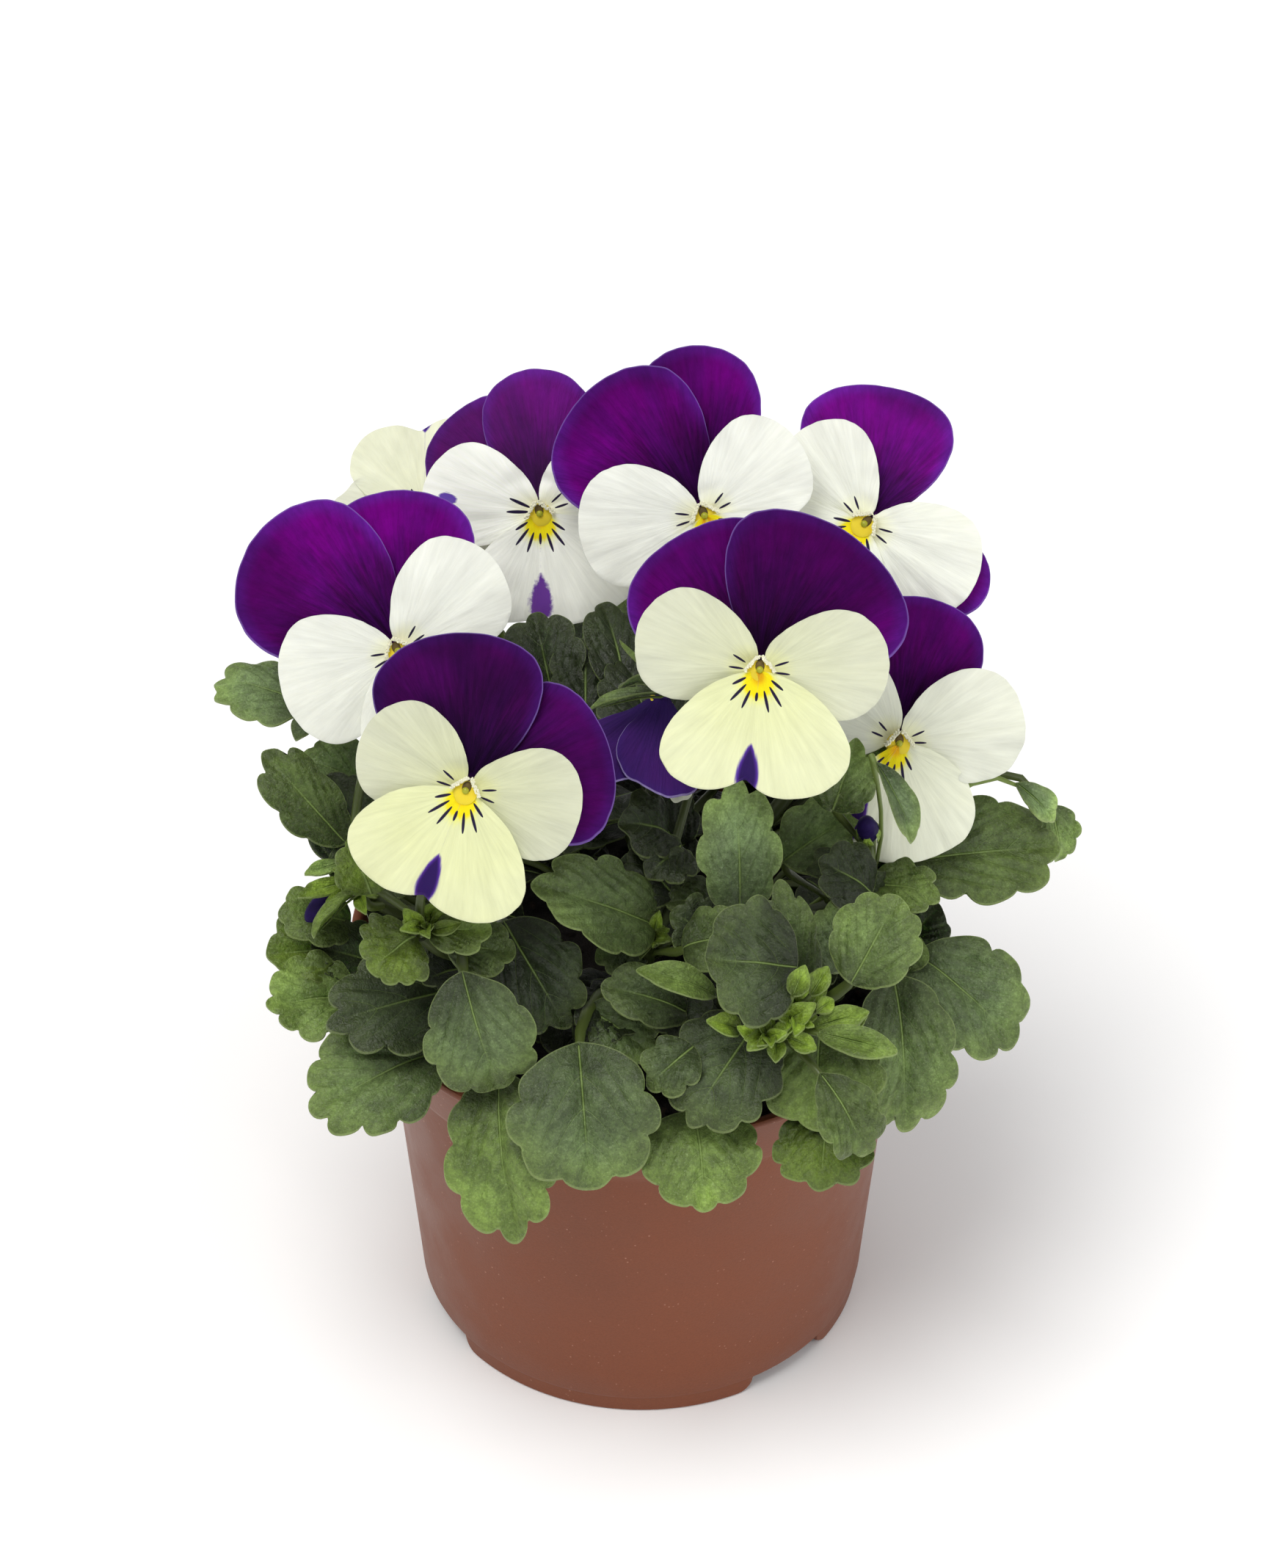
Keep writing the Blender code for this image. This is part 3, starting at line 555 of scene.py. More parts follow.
def stalk_finish():
    """Juicy green stalks, a little paler than the leaves, darkened by the tone they carry as painted shade.
    """
    made = Finish("green_stalk", 0.42, (0.08, 0.0006, 0.001, 0.0003))
    _youth, tone_and_painted_light, _width = made.attribute("tint")
    body = mottled(made, linear(104, 122, 52), 160.0, 0.6, 1.4, 4.0)
    made.set("Base Color", made.shade(body, tone_and_painted_light, 0.2, 1.1))
    made.bump(made.noise(made.place(), 1500.0, 2.0), 0.0001, 0.5)


def bud_finish():
    """A rolled bud, dark violet."""
    made = Finish("violet_bud", 0.6, Specular_IOR_Level=0.1)
    made.set("Base Color", mottled(made, linear(30, 16, 66), 600.0, 0.5, 1.5, 4.0))
    made.bump(made.noise(made.place(), 900.0), 0.0002, 0.6)


def from_throat(made, across, along):
    """Distance from the throat and direction across the petal, from the petal's own coordinates."""
    return made.maths("SQRT", across * across + along * along), made.maths("ARCTAN2", across, along)


def streaks(made, reach, turn, length, crowd, stretch, detail, rough):
    """Streaks that fan out from the throat: how crowded they are, and how fast they change outwards."""
    return made.noise(made.join(turn * crowd, reach * stretch, length), 1.0, detail, rough)


def purple_finish():
    """Velvety upper petals: almost black at the throat, magenta-purple, violet at the rim."""
    settings = bpy.context.scene.bloom_settings
    made = Finish("purple_petal", 0.8, Specular_IOR_Level=0.05)
    across, along, edge = made.attribute("flat")
    pale, blue, length = made.attribute("tint")
    reach, turn = from_throat(made, across, along)
    share = reach / length
    fine = streaks(made, reach, turn, length, 26.0, 0.16, 4.0, 0.65)
    broad = streaks(made, reach, turn, length, 7.0, 0.1, 3.0, 0.5)
    # The dark heart runs out along the veins.
    heart = made.ramp(share + (fine - 0.5) * 0.5, 0.2, 0.86, 1.0, 0.0)
    body = made.mix(heart, settings.purple[:], linear(36, 4, 46))
    body = made.mix(made.ramp(broad, 0.35, 0.65) * 0.4, body, linear(70, 6, 96))
    body = made.mix(made.ramp(edge, 0.8, 1.0) * made.ramp(share, 0.35, 0.7) * 0.75, body, settings.rim[:])
    body = made.shade(body, fine, 0.68, 1.32)
    place = made.place()
    # Broad soft patches lighter and darker at random: uneven colour together with a painted sheen.
    body = made.shade(body, made.ramp(made.noise(place, 42.0, 2.0), 0.38, 0.62), 0.72, 1.4)
    body = made.shade(body, made.noise(place, 420.0, 4.0, 0.65), 0.7, 1.3)
    body = made.shade(body, made.maths("ADD", pale, 1.0, clamp=True), 0.3, 1.0)
    hem = made.ramp(edge, 0.98, 1.0) * made.ramp(share, 0.3, 0.6)
    body = made.mix(hem * 0.5, body, linear(140, 112, 190))
    body = made.mix(made.maths("MULTIPLY", pale, 0.5, clamp=True), body, linear(140, 84, 160))
    reverse = made.mix(hem * 0.7, linear(52, 36, 98), linear(170, 158, 206))
    body = made.mix(blue, body, made.shade(reverse, fine, 0.55, 1.45))
    made.set("Base Color", body)
    made.bump(fine + broad * 1.4, 0.0004, 0.8)


def pale_finish():
    """White or cream petals: yellow heart, navy whiskers, a violet drop at the lip's notch."""
    settings = bpy.context.scene.bloom_settings
    made = Finish("pale_petal", 0.65, (0.2, 0.0012, 0.0011, 0.0008), Specular_IOR_Level=0.15,
                  Sheen_Weight=0.05)
    across, along, _edge = made.attribute("flat")
    cream, kind, length = made.attribute("tint")
    reach, turn = from_throat(made, across, along)
    fine = streaks(made, reach, turn, length, 20.0, 0.12, 3.0, 0.6)
    broad = streaks(made, reach, turn, length, 5.0, 0.1, 2.0, 0.5)
    is_lip = made.ramp(kind, 0.4, 0.6)

    def by_petal(side, lip):
        """What is one thing on the side petals and another on the lip."""
        return is_lip * (lip - side) + side

    # Cream is strongest on the lip and towards the throat.
    depth = is_lip * 0.45 + made.ramp(reach, 20.0, 3.0, 0.5, 0.8)
    body = made.mix(made.maths("MULTIPLY", cream, depth, clamp=True), settings.white[:], settings.cream[:])
    # Painted shade: the cream blooms' side petals darker and their lips a little darker; where cream is
    # below 0, painted light makes the petals lighter instead.
    body = made.shade(body, cream * by_petal(0.29, 0.12), 1.0, 0.0)
    # Painted shade in the soft folds and creases that fan from the throat, with faint veins.
    body = made.shade(body, broad, 0.88, 1.1)
    body = made.shade(body, fine, 0.82, 1.12)
    # A yellow glow round the throat, and the deeper yellow heart on the lip.
    fan = turn * turn * 1.6 + reach
    glow = made.ramp(fan - fine * 2.4, 5.6, 2.4) * 0.85
    body = made.mix(glow * by_petal(0.2, 1.0), body, linear(232, 232, 70))
    patch = made.ramp(fan + (fine - 0.5) * 2.2, 5.2, 4.2) * is_lip
    yellow = made.mix(made.ramp(fan, 1.4, 3.2), settings.heart[:], linear(240, 220, 10))
    body = made.mix(patch, body, yellow)
    # Whiskers: fine lines that spread from the throat, seven on the lip and two on each side petal.
    gap, shift, most = by_petal(0.42, 0.33), by_petal(0.5, 0.0), by_petal(0.5, 3.0)
    count = made.maths("ROUND", turn / gap - shift) + shift
    count = made.maths("MINIMUM", made.maths("MAXIMUM", count, most * -1.0), most)
    beside = (turn - count * gap) * reach
    size = made.noise(made.join(count, length, kind), 1.7, 1.0)
    rank = abs(count)
    middle = by_petal(4.0, rank * 1.45 + 4.5 - rank * rank * 0.55)
    half = by_petal(0.8, rank * 1.35 + 0.5 - rank * rank * 0.4)
    bold = made.ramp(abs(kind - 0.25), 0.0, 0.1, 1.0, 0.0)
    half = size * 0.9 + half + bold
    place = (reach - middle) / half
    taper = made.maths("SUBTRACT", 1.0, place * place, clamp=True)
    thick = made.maths("SQRT", taper) * (by_petal(0.22, 0.29) + bold * 0.13)
    line = abs(beside) / made.maths("MAXIMUM", thick, 0.001)
    whisker = made.ramp(line, 1.15, 0.7) * made.ramp(taper, 0.0, 0.08)
    # A stray violet smudge near the end of a marked side petal.
    off = (along - 16.6) / 1.9
    low = (across + fine * 2.2) / 1.2
    smudge = made.ramp(off * off + low * low, 1.0, 0.5)
    body = made.mix(smudge * bold, body, linear(96, 66, 168))
    body = made.mix(whisker, body, settings.whisker[:])
    # The violet drop hangs from the lip's notch. On one lip it is paler, wider and fuzzy.
    fuzz = made.ramp(kind, 0.95, 0.87)
    start = made.ramp(kind, 1.05, 1.15, 10.2, 4.0)
    grain = made.noise(made.place(), 1500.0, 3.0, 0.6)
    drop = (along - (length - start)) / 8.8
    wide = made.maths("MAXIMUM", drop, 0.0) ** 0.8 * made.maths("SUBTRACT", 1.0, drop, clamp=True) ** 0.35
    inside = wide * (fuzz * 0.6 + 4.3) - abs(across)
    torn = inside + (fine - 0.5) * 0.9 + (grain - 0.5) * fuzz * 1.4
    stain = made.ramp(torn, -0.1, fuzz * 0.5 + 0.45) * is_lip
    violet = made.mix(made.ramp(inside, 0.1, 1.0), linear(84, 42, 158), linear(34, 8, 80))
    violet = made.mix(fuzz * 0.75, violet, linear(104, 50, 160))
    body = made.mix(stain, body, violet)
    made.set("Base Color", body)
    made.bump(fine * 0.6 + broad, 0.00022, 0.8)


def knob_finish():
    """The green knob of the stigma."""
    made = Finish("green_knob", 0.4, (0.2, 0.0006, 0.0008, 0.0002))
    made.set("Base Color", mottled(made, linear(158, 160, 26), 900.0, 0.7, 1.25))


def beard_finish():
    """The white down on each side of the throat."""
    made = Finish("white_beard", 0.7, (0.3, 0.0006, 0.0006, 0.0004))
    made.set("Base Color", mottled(made, linear(242, 240, 205), 1200.0, 0.85, 1.1))


def hollow_finish():
    """The mouth of the throat: its olive-brown inside, darkened as painted shade in the opening."""
    made = Finish("dark_throat", 0.7)
    made.set("Base Color", mottled(made, linear(84, 66, 12), 1800.0, 0.3, 1.7))


FINISHES = {
    "pot_plastic": pot_finish,
    "damp_soil": soil_finish,
    "leaf_blade": leaf_finish,
    "green_stalk": stalk_finish,
    "violet_bud": bud_finish,
    "purple_petal": purple_finish,
    "pale_petal": pale_finish,
    "green_knob": knob_finish,
    "white_beard": beard_finish,
    "dark_throat": hollow_finish,
}


def finish(name):
    """The material of this name, made when it is first asked for."""
    if name not in bpy.data.materials:
        FINISHES[name]()
    return bpy.data.materials[name]


# --- shapes -----------------------------------------------------------------------------------

def pose(azimuth, elevation, roll):
    """The right, up and forward directions of something that faces this way."""
    az, el, ro = (math.radians(a) for a in (azimuth, elevation, roll))
    normal = Vector((math.sin(az) * math.cos(el), -math.cos(az) * math.cos(el), math.sin(el)))
    right = Vector((0, 0, 1)).cross(normal).normalized()
    up = normal.cross(right)
    turned_up = up * math.cos(ro) + right * math.sin(ro)
    turned_right = right * math.cos(ro) - up * math.sin(ro)
    return turned_right, turned_up, normal


def disc(a, b):
    """Carries the square -1..1 onto the unit disc, rings to rings."""
    if abs(a) < 1e-9 and abs(b) < 1e-9:
        return 0.0, 0.0
    if abs(a) > abs(b):
        radius, angle = a, math.pi / 4 * b / a
    else:
        radius, angle = b, math.pi / 2 - math.pi / 4 * a / b
    return radius * math.cos(angle), radius * math.sin(angle)


def bezier(controls, count):
    """Evenly stepped points of the Bezier curve with these control points."""
    points = []
    for i in range(count):
        t = i / (count - 1)
        row = [Vector(p) for p in controls]
        while len(row) > 1:
            row = [a.lerp(b, t) for a, b in zip(row, row[1:])]
        points.append(row[0])
    return points


def flowing(points, steps):
    """A smooth path through all the points, with this many steps between neighbours."""
    points = [Vector(p) for p in points]
    ends = [2 * points[0] - points[1]] + points + [2 * points[-1] - points[-2]]
    path = []
    for a, b, c, d in zip(ends, ends[1:], ends[2:], ends[3:]):
        for i in range(steps):
            t = i / steps
            path.append(0.5 * (2 * b + (c - a) * t + (2 * a - 5 * b + 4 * c - d) * t * t
                               + (3 * b - a - 3 * c + d) * t ** 3))
    return path + [points[-1]]


def wander(*place):
    """A smooth chance value, about -1 to 1, that changes with the place."""
    return noise.noise(Vector(place))


def squashed(at, turned, size):
    """The matrix that moves a unit ball here, turned, with these half sizes."""
    return Matrix.Translation(at) @ turned.to_4x4() @ Matrix.Diagonal((*size, 1))


def outward(degrees):
    """The level direction at this angle from -Y towards +X."""
    turn = math.radians(degrees)
    return Vector((math.sin(turn), -math.cos(turn), 0))


def swing(out, aside, high, turn):
    """A point this far out and aside in the direction at this turn from the top, and this high."""
    sin, cos = math.sin(turn), math.cos(turn)
    return Vector((out * sin + aside * cos, out * cos - aside * sin, high))


def faces_of(verts):
    """The faces round these points, each once."""
    return list(dict.fromkeys(face for vert in verts for face in vert.link_faces))


class Shape:
    """A mesh in the making, in millimetres. Its points carry two sets of three numbers for the
    finishes: "flat", where the point lies on the piece, and "tint", how the piece is coloured,
    with the painted light and shade of leaves and stalks."""

    def __init__(self):
        self.bm = bmesh.new()
        self.flat = self.bm.verts.layers.float_vector.new("flat")
        self.tint = self.bm.verts.layers.float_vector.new("tint")

    def sheet(self, cells, place, thickness, tint):
        """A thin closed blade: a disc moved by place(), which gives each point and its flat numbers."""
        grid = bmesh.ops.create_grid(self.bm, x_segments=cells[0], y_segments=cells[1], size=1)["verts"]
        for vert in grid:
            vert.co, vert[self.flat] = place(*disc(vert.co.x, vert.co.y))
            vert[self.tint] = tint
        bmesh.ops.solidify(self.bm, geom=faces_of(grid), thickness=thickness)

    def tube(self, path, radii, sides, side=None, flatness=1.0, tint=(0, 0, 0), flat=(0, 0, 0)):
        """A closed tube round a path. A radius is a number, or a function of the turn round it."""
        count = len(path)
        tangents = [(path[min(i + 1, count - 1)] - path[max(i - 1, 0)]).normalized() for i in range(count)]
        side = Vector(side) if side else tangents[0].orthogonal()
        frames = []
        for tangent in tangents:
            side = (side - tangent * side.dot(tangent)).normalized()
            frames.append((side, tangent.cross(side)))
        grid = bmesh.ops.create_grid(self.bm, x_segments=sides, y_segments=count - 1, size=1)["verts"]
        faces = faces_of(grid)
        seam = [vert for vert in grid if abs(vert.co.x) > 0.999]
        for vert in grid:
            row = round((vert.co.y + 1) / 2 * (count - 1))
            turn = math.pi * (vert.co.x + 1)
            across, over = frames[row]
            radius = radii[row](turn) if callable(radii[row]) else radii[row]
            vert.co = path[row] + (across * math.cos(turn) + over * math.sin(turn) * flatness) * radius
            vert[self.tint], vert[self.flat] = tint, flat
        bmesh.ops.remove_doubles(self.bm, verts=seam, dist=1e-5)
        rims = list(dict.fromkeys(edge for face in faces for edge in face.edges if edge.is_boundary))
        bmesh.ops.holes_fill(self.bm, edges=rims, sides=0)

    def ball(self, matrix, cells, index):
        """A unit ball moved, turned and squashed by a matrix, in the finish of this number."""
        made = bmesh.ops.create_uvsphere(self.bm, u_segments=cells[0], v_segments=cells[1], radius=1,
                                         matrix=matrix)["verts"]
        for face in faces_of(made):
            face.material_index = index

    def bead(self, matrix, index):
        """The same, made of few faces."""
        made = bmesh.ops.create_icosphere(self.bm, subdivisions=1, radius=1, matrix=matrix)["verts"]
        for face in faces_of(made):
            face.material_index = index

    def finished(self, name, finishes, slot, replaced=(), crease=50):
        """The shape as a piece that rides on the root body."""
        bmesh.ops.scale(self.bm, vec=(MM, MM, MM), verts=self.bm.verts[:])
        bmesh.ops.recalc_face_normals(self.bm, faces=self.bm.faces[:])
        mesh = bpy.data.meshes.new(name)
        self.bm.to_mesh(mesh)
        self.bm.free()
        mesh.shade_smooth()
        mesh.set_sharp_from_angle(angle=math.radians(crease))
        for finish_name in finishes:
            mesh.materials.append(finish(finish_name))
        piece = bpy.data.objects.new(name, mesh)
        bpy.context.scene.collection.objects.link(piece)
        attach(piece, "root")
        if replaced:
            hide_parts(*replaced)
        return piece


# --- pot and soil -----------------------------------------------------------------------------

# The raised feet: the directions of the gaps between them, then each gap's width and where it is
# measured, and the feet's height, radii and rounding.
FOOT_GAPS = (42.0, 168.0, 294.5)
FOOT_GAP, FOOT_GAP_RADIUS = 16.0, 40.3
FOOT_HEIGHT, FOOT_OUTER, FOOT_INNER, FOOT_CORNER = 3.9, 40.15, 38.5, 3.2

DRAINS, DRAIN_RADIUS, DRAIN_RING = 6, 4.0, 24.0
DRAIN_TWIST = 0.05  # keeps the holes' corners off the shell's own edges

SOIL_RADIUS, SOIL_TOP, SOIL_RINGS, CRUMBS = 47.6, 72.2, 44, 220


def lathe(bm, profile, steps, unit=1.0):
    """A full turn of a section round the upright axis. Its points are radius and height."""
    verts = [bm.verts.new((radius * unit, 0, height * unit)) for radius, height in profile]
    edges = [bm.edges.new(pair) for pair in zip(verts, verts[1:])]
    bmesh.ops.spin(bm, geom=verts + edges, axis=(0, 0, 1), cent=(0, 0, 0), steps=steps,
                   angle=math.tau, use_merge=True)
    bmesh.ops.remove_doubles(bm, verts=bm.verts[:], dist=0.001 * unit)


def pot_body(lip, top):
    """The wall, floor and lip as one shell of revolution, with the drain holes cut."""
    bm = bmesh.new()
    # From under the middle of the floor up the outside, over the lip and down the inside.
    profile = (
        (0, 4.4), (38.7, 4.4), (39.4, 3.7), (40.0, 3.6), (40.5, 3.8), (40.75, 4.4), (41.3, 10.6),
        (46.2, 64.2), (46.45, 65.7), (46.9, 66.4), (48.0, 66.9), (48.45, 67.4), (48.7, 68.3),
        (lip - 1.5, top - 3.0), (lip - 1.25, top - 2.1), (lip - 0.7, top - 1.75), (lip - 0.2, top - 1.55),
        (lip, top - 1.2), (lip, top - 0.55), (lip - 0.2, top - 0.15), (lip - 0.6, top), (lip - 1.2, top),
        (lip - 1.6, top - 0.3), (lip - 1.9, top - 1.2), (47.5, 67.9), (47.2, 67.2), (46.4, 66.7),
        (45.4, 66.3), (45.1, 65.5), (40.2, 8.4), (39.6, 6.6), (38.0, 5.9), (0, 5.8),
    )
    lathe(bm, profile, 180, MM)
    bmesh.ops.recalc_face_normals(bm, faces=bm.faces[:])
    shell = bpy.data.objects.new("pot_shell", bpy.data.meshes.new("pot_shell"))
    bm.to_mesh(shell.data)
    bm.clear()
    for i in range(DRAINS):
        turn = math.tau * i / DRAINS
        centre = Vector((DRAIN_RING * math.sin(turn), DRAIN_RING * math.cos(turn), 5)) * MM
        bmesh.ops.create_cone(bm, cap_ends=True, segments=32, radius1=DRAIN_RADIUS * MM,
                              radius2=DRAIN_RADIUS * MM, depth=8 * MM,
                              matrix=Matrix.Translation(centre) @ Matrix.Rotation(DRAIN_TWIST, 4, "Z"))
    drains = bpy.data.objects.new("drains", bpy.data.meshes.new("drains"))
    bm.to_mesh(drains.data)
    bm.free()
    for obj in (shell, drains):
        bpy.context.scene.collection.objects.link(obj)
    take = shell.modifiers.new("cut", "BOOLEAN")
    take.operation, take.solver, take.object = "DIFFERENCE", "EXACT", drains
    graph = bpy.context.evaluated_depsgraph_get()
    mesh = bpy.data.meshes.new_from_object(shell.evaluated_get(graph))
    for obj in (shell, drains):
        bpy.data.objects.remove(obj)
    return mesh


def foot_arc(shape, start, end):
    """One of the raised segments that the pot stands on, rounded at both ends."""
    loop = ((FOOT_OUTER - 0.5, 0), (FOOT_OUTER - 0.1, 0.35), (FOOT_OUTER + 0.28, FOOT_HEIGHT + 0.5),
            (FOOT_INNER + 0.2, FOOT_HEIGHT + 0.6), (FOOT_INNER, 0.3), (FOOT_INNER + 0.4, 0))
    sweep = math.radians(end - start)
    steps = round(2 * math.degrees(sweep))
    verts = [shape.bm.verts.new(outward(start) * r + Vector((0, 0, z))) for r, z in loop]
    edges = [shape.bm.edges.new(pair) for pair in zip(verts, verts[1:] + verts[:1])]
    first = set(shape.bm.verts) - set(verts)
    bmesh.ops.spin(shape.bm, geom=verts + edges, axis=(0, 0, 1), cent=(0, 0, 0), steps=steps, angle=sweep)
    made = [vert for vert in shape.bm.verts if vert not in first]
    rims = list(dict.fromkeys(edge for vert in made for edge in vert.link_edges if edge.is_boundary))
    bmesh.ops.holes_fill(shape.bm, edges=rims, sides=0)
    for vert in made:
        angle = math.degrees(math.atan2(vert.co.x, -vert.co.y)) % 360
        past = min(abs((angle - limit + 180) % 360 - 180) for limit in (start, end))
        away = FOOT_CORNER - math.radians(past) * FOOT_OUTER
        if away > 0 and vert.co.z < 1:
            vert.co.z += FOOT_CORNER - math.sqrt(max(FOOT_CORNER ** 2 - away ** 2, 0))


class PANSY_OT_pot(bpy.types.Operator):
    """Makes the round nursery pot"""
    bl_idname = "pansy.pot"
    bl_label = "Pot"

    def execute(self, context):
        settings = context.scene.pot_settings
        shape = Shape()
        shape.bm.from_mesh(pot_body(settings.lip_radius / MM, settings.height / MM))
        bmesh.ops.scale(shape.bm, vec=(1 / MM,) * 3, verts=shape.bm.verts[:])
        bmesh.ops.dissolve_degenerate(shape.bm, dist=1e-4, edges=shape.bm.edges[:])
        half = math.degrees(FOOT_GAP / 2 / FOOT_GAP_RADIUS)
        for gap, following in zip(FOOT_GAPS, FOOT_GAPS[1:] + (FOOT_GAPS[0] + 360,)):
            foot_arc(shape, gap + half, following - half)
        shape.finished("nursery_pot", ["pot_plastic"], "pot", ["pot"], crease=40)
        return {"FINISHED"}


class PANSY_OT_soil(bpy.types.Operator):
    """Fills the pot with crumbly soil"""
    bl_idname = "pansy.soil"
    bl_label = "Soil"

    def execute(self, context):
        shape = Shape()
        rings = [(SOIL_RADIUS * (1 - i / SOIL_RINGS), SOIL_TOP + 1.6 * min(1, i / 30))
                 for i in range(SOIL_RINGS + 1)]
        profile = [(0, 6.7), (38.0, 6.7), (44.7, 66.0), (46.8, 67.5), (SOIL_RADIUS, 70.5)] + rings
        lathe(shape.bm, profile, 120)
        for vert in shape.bm.verts:
            x, y, z = vert.co
            if z > SOIL_TOP - 0.7:
                vert.co.z += 1.3 * wander(x / 7, y / 7, 3) + 0.8 * wander(x / 2.6, y / 2.6, 7) - 0.4
        chance = random.Random(5)
        for _ in range(CRUMBS):
            turn, away = chance.uniform(0, math.tau), 45 * math.sqrt(chance.random())
            size = chance.uniform(0.5, 1.7)
            x, y = away * math.sin(turn), away * math.cos(turn)
            place = Vector((x, y, SOIL_TOP + 1 + 1.3 * wander(x / 7, y / 7, 3)))
            lean = Matrix.Rotation(chance.uniform(0, 3), 3, Vector((chance.random(), 1, chance.random())))
            shape.bead(squashed(place, lean, (size, size * 0.7, size * 0.8)), index=0)
        shape.finished("potting_soil", ["damp_soil"], "soil", ["soil"])
        return {"FINISHED"}


# --- leaves and stems -------------------------------------------------------------------------

def stem_path(name):
    """The stem's path: its foot in the soil, then eight points from just above the soil to its tip."""
    (x, y), tip, _light = STEMS[name]
    tip = Vector(tip)
    mouth = Vector((x, y, 75))
    rise = tip.z - mouth.z
    upper = bezier((mouth, mouth + Vector((0, 0, 0.35 * rise)),
                    Vector((tip.x * 0.86, tip.y * 0.86, tip.z - 0.38 * rise)), tip), 8)
    return [Vector((x, y, 62.4))] + upper


def point_along(path, fraction):
    """The point and direction at a fraction of the way along the part above the soil."""
    place = 1 + fraction * (len(path) - 2)
    i = min(int(place), len(path) - 2)
    return path[i].lerp(path[i + 1], place - i), (path[i + 1] - path[i]).normalized()


def point_below(path, height):
    """The stem's point and direction at this height, or at the nearest height it has."""
    low, high = path[1].z + 1, path[-1].z - 0.8
    height = min(max(height, low), high)
    for a, b in zip(path[1:], path[2:]):
        if a.z <= height <= b.z:
            return a.lerp(b, (height - a.z) / (b.z - a.z)), (b - a).normalized()
    return path[-1], (path[-1] - path[-2]).normalized()


SMALL_LEAF = 8.5  # narrower leaves than this are simple ones, folded along the midrib


def leaf(blades, stalks, name, path, light, row, fine, settings):
    """A scalloped blade with sunk veins, and the winged petiole that runs on as its midrib."""
    start, tip, width, youth, tone_and_painted_light, *roll = row
    chance = random.Random(name)
    seed = chance.uniform(0, 50)
    start, tip = Vector(start), Vector(tip)
    along = tip - start
    length = along.length
    along = along / length
    normal = (Vector(light) - along * Vector(light).dot(along)).normalized()
    across = along.cross(normal)
    roll = math.radians(roll[0] if roll else 0)
    across, normal = (across * math.cos(roll) - normal * math.sin(roll),
                      normal * math.cos(roll) + across * math.sin(roll))
    arch = 0.06 if abs(along.z) < 0.4 else 0.11
    small = width < SMALL_LEAF
    # The leaf's own character: its teeth, the fold and cup across it, the waves along its edge, how
    # far it sways aside and how much wider it is towards its tip.
    lobes = 5 if small else chance.choice((8, 9, 9, 10)) if width > 14 else chance.choice((6, 7, 8))
    depth = settings.tooth_depth * (0.45 if small else chance.uniform(0.6, 1.35))
    fold = 0.45 if small else chance.uniform(-0.03, 0.16)
    cup = 0.0 if small else chance.uniform(-0.002, 0.01)
    wave = 0.0 if small else chance.uniform(0.04, 0.085) * width
    sway = chance.uniform(-0.05, 0.05) * length
    bulge = 0.15 if small else chance.uniform(-0.18, 0.12)
    thickness = settings.thickness / MM

    def place(x, y):
        turn = math.atan2(x, y)
        reach = math.hypot(x, y)
        cos, sin = math.cos(turn), math.sin(turn)
        # Teeth, which fade near the petiole.
        phase = lobes / 2 * (turn + 0.16 * wander(cos * 2.5, sin * 2.5, seed + 2)) + math.pi / 2
        tooth = 1 - abs(math.sin(phase)) ** 0.62
        fade = min(max((cos + 0.85) / 0.5, 0), 1)
        uneven = 1 + 0.5 * wander(cos * 2.4, sin * 2.4, seed)
        shrink = 1 + 0.02 * fade - depth * fade * tooth * uneven * reach ** 5
        shrink *= 1 + 0.06 * wander(cos * 1.1, sin * 1.1, seed + 9) * reach
        x, y = x * shrink, y * shrink
        # Along the leaf and across it, narrowing to the petiole.
        u = (1 + y) / 2
        taper = math.sqrt(max(u, 0) / (max(u, 0) + (0.25 if small else 0.02)))
        if small:
            taper *= 0.95 * max(1.02 - u, 0) ** 0.22
        side = width / 2 * x * (1 + bulge * y) * taper
        # Up from the blade's plane: the arch, the quilting between the veins, the midrib's groove.
        run = 4.5 * u - 4 * abs(x) ** 1.4
        quilt = math.sin(math.pi * run) ** 2 * (1 - math.exp(-(side / 1.5) ** 2)) * (1 - reach ** 4)
        lift = arch * length * 4 * u * (1 - u) + 0.3 + fold * abs(side) - cup * side * side
        lift += (0.8 * quilt - 0.5 * math.exp(-(side / 1.0) ** 2)) * (0.3 if small else 1)
        lift += wave * wander(cos * 2.2, sin * 2.2, seed + 4) * reach ** 3
        lift += 0.08 * width * wander(x * 1.3, y * 1.3, seed + 6)
        side += sway * (u * u - u)
        point = start + along * (length * u) + across * side + normal * lift
        return point, (x, u, reach)

    if small:
        cells = (10, 14)
    elif fine:
        cells = (30, 34) if width > 15 else (22, 26)
    else:
        cells = (16, 20)
    blades.sheet(cells, place, thickness, (youth, tone_and_painted_light, width))
    rib = []
    for i in range(7):
        y = 0.7 - 1.55 * i / 6
        point, _flat = place(0.0, y)
        rib.append(point - normal * (thickness + 0.15 + 0.03 * i))
    root, direction = point_below(path, start.z - 0.55 * (start - path[-1]).length - 6)
    end = rib[-1]
    run = (end - root).length
    count = 6 if run < 14 else 9
    dive = 0.0 if small else 0.28 * run
    stalk = bezier((end, end - along * (0.25 * run) - normal * dive,
                    root + direction * (0.3 * run) + Vector((0, 0, 0.1 * run)), root), count)
    thick = 0.42 if small else 0.62 if width < 13 else 0.78
    radii = [thick * (0.25 + 0.1 * i) for i in range(7)]
    radii += [thick * (0.95 + 0.45 * math.sin(math.pi * min(1, 2.2 * i / count))) for i in range(1, count)]
    # The petioles of the larger leaves are painted no lighter than 0.3: painted shade under the blades.
    stalks.tube(rib + stalk[1:], radii, 8, side=across, flatness=0.72,
                tint=(youth, tone_and_painted_light if small else min(tone_and_painted_light, 0.3), 0))


def reaching(start, out, length, drop):
    """The tip of a leaf of this length that runs out from its start and drops this far."""
    return start + out * math.sqrt(length ** 2 - drop ** 2) - Vector((0, 0, drop))


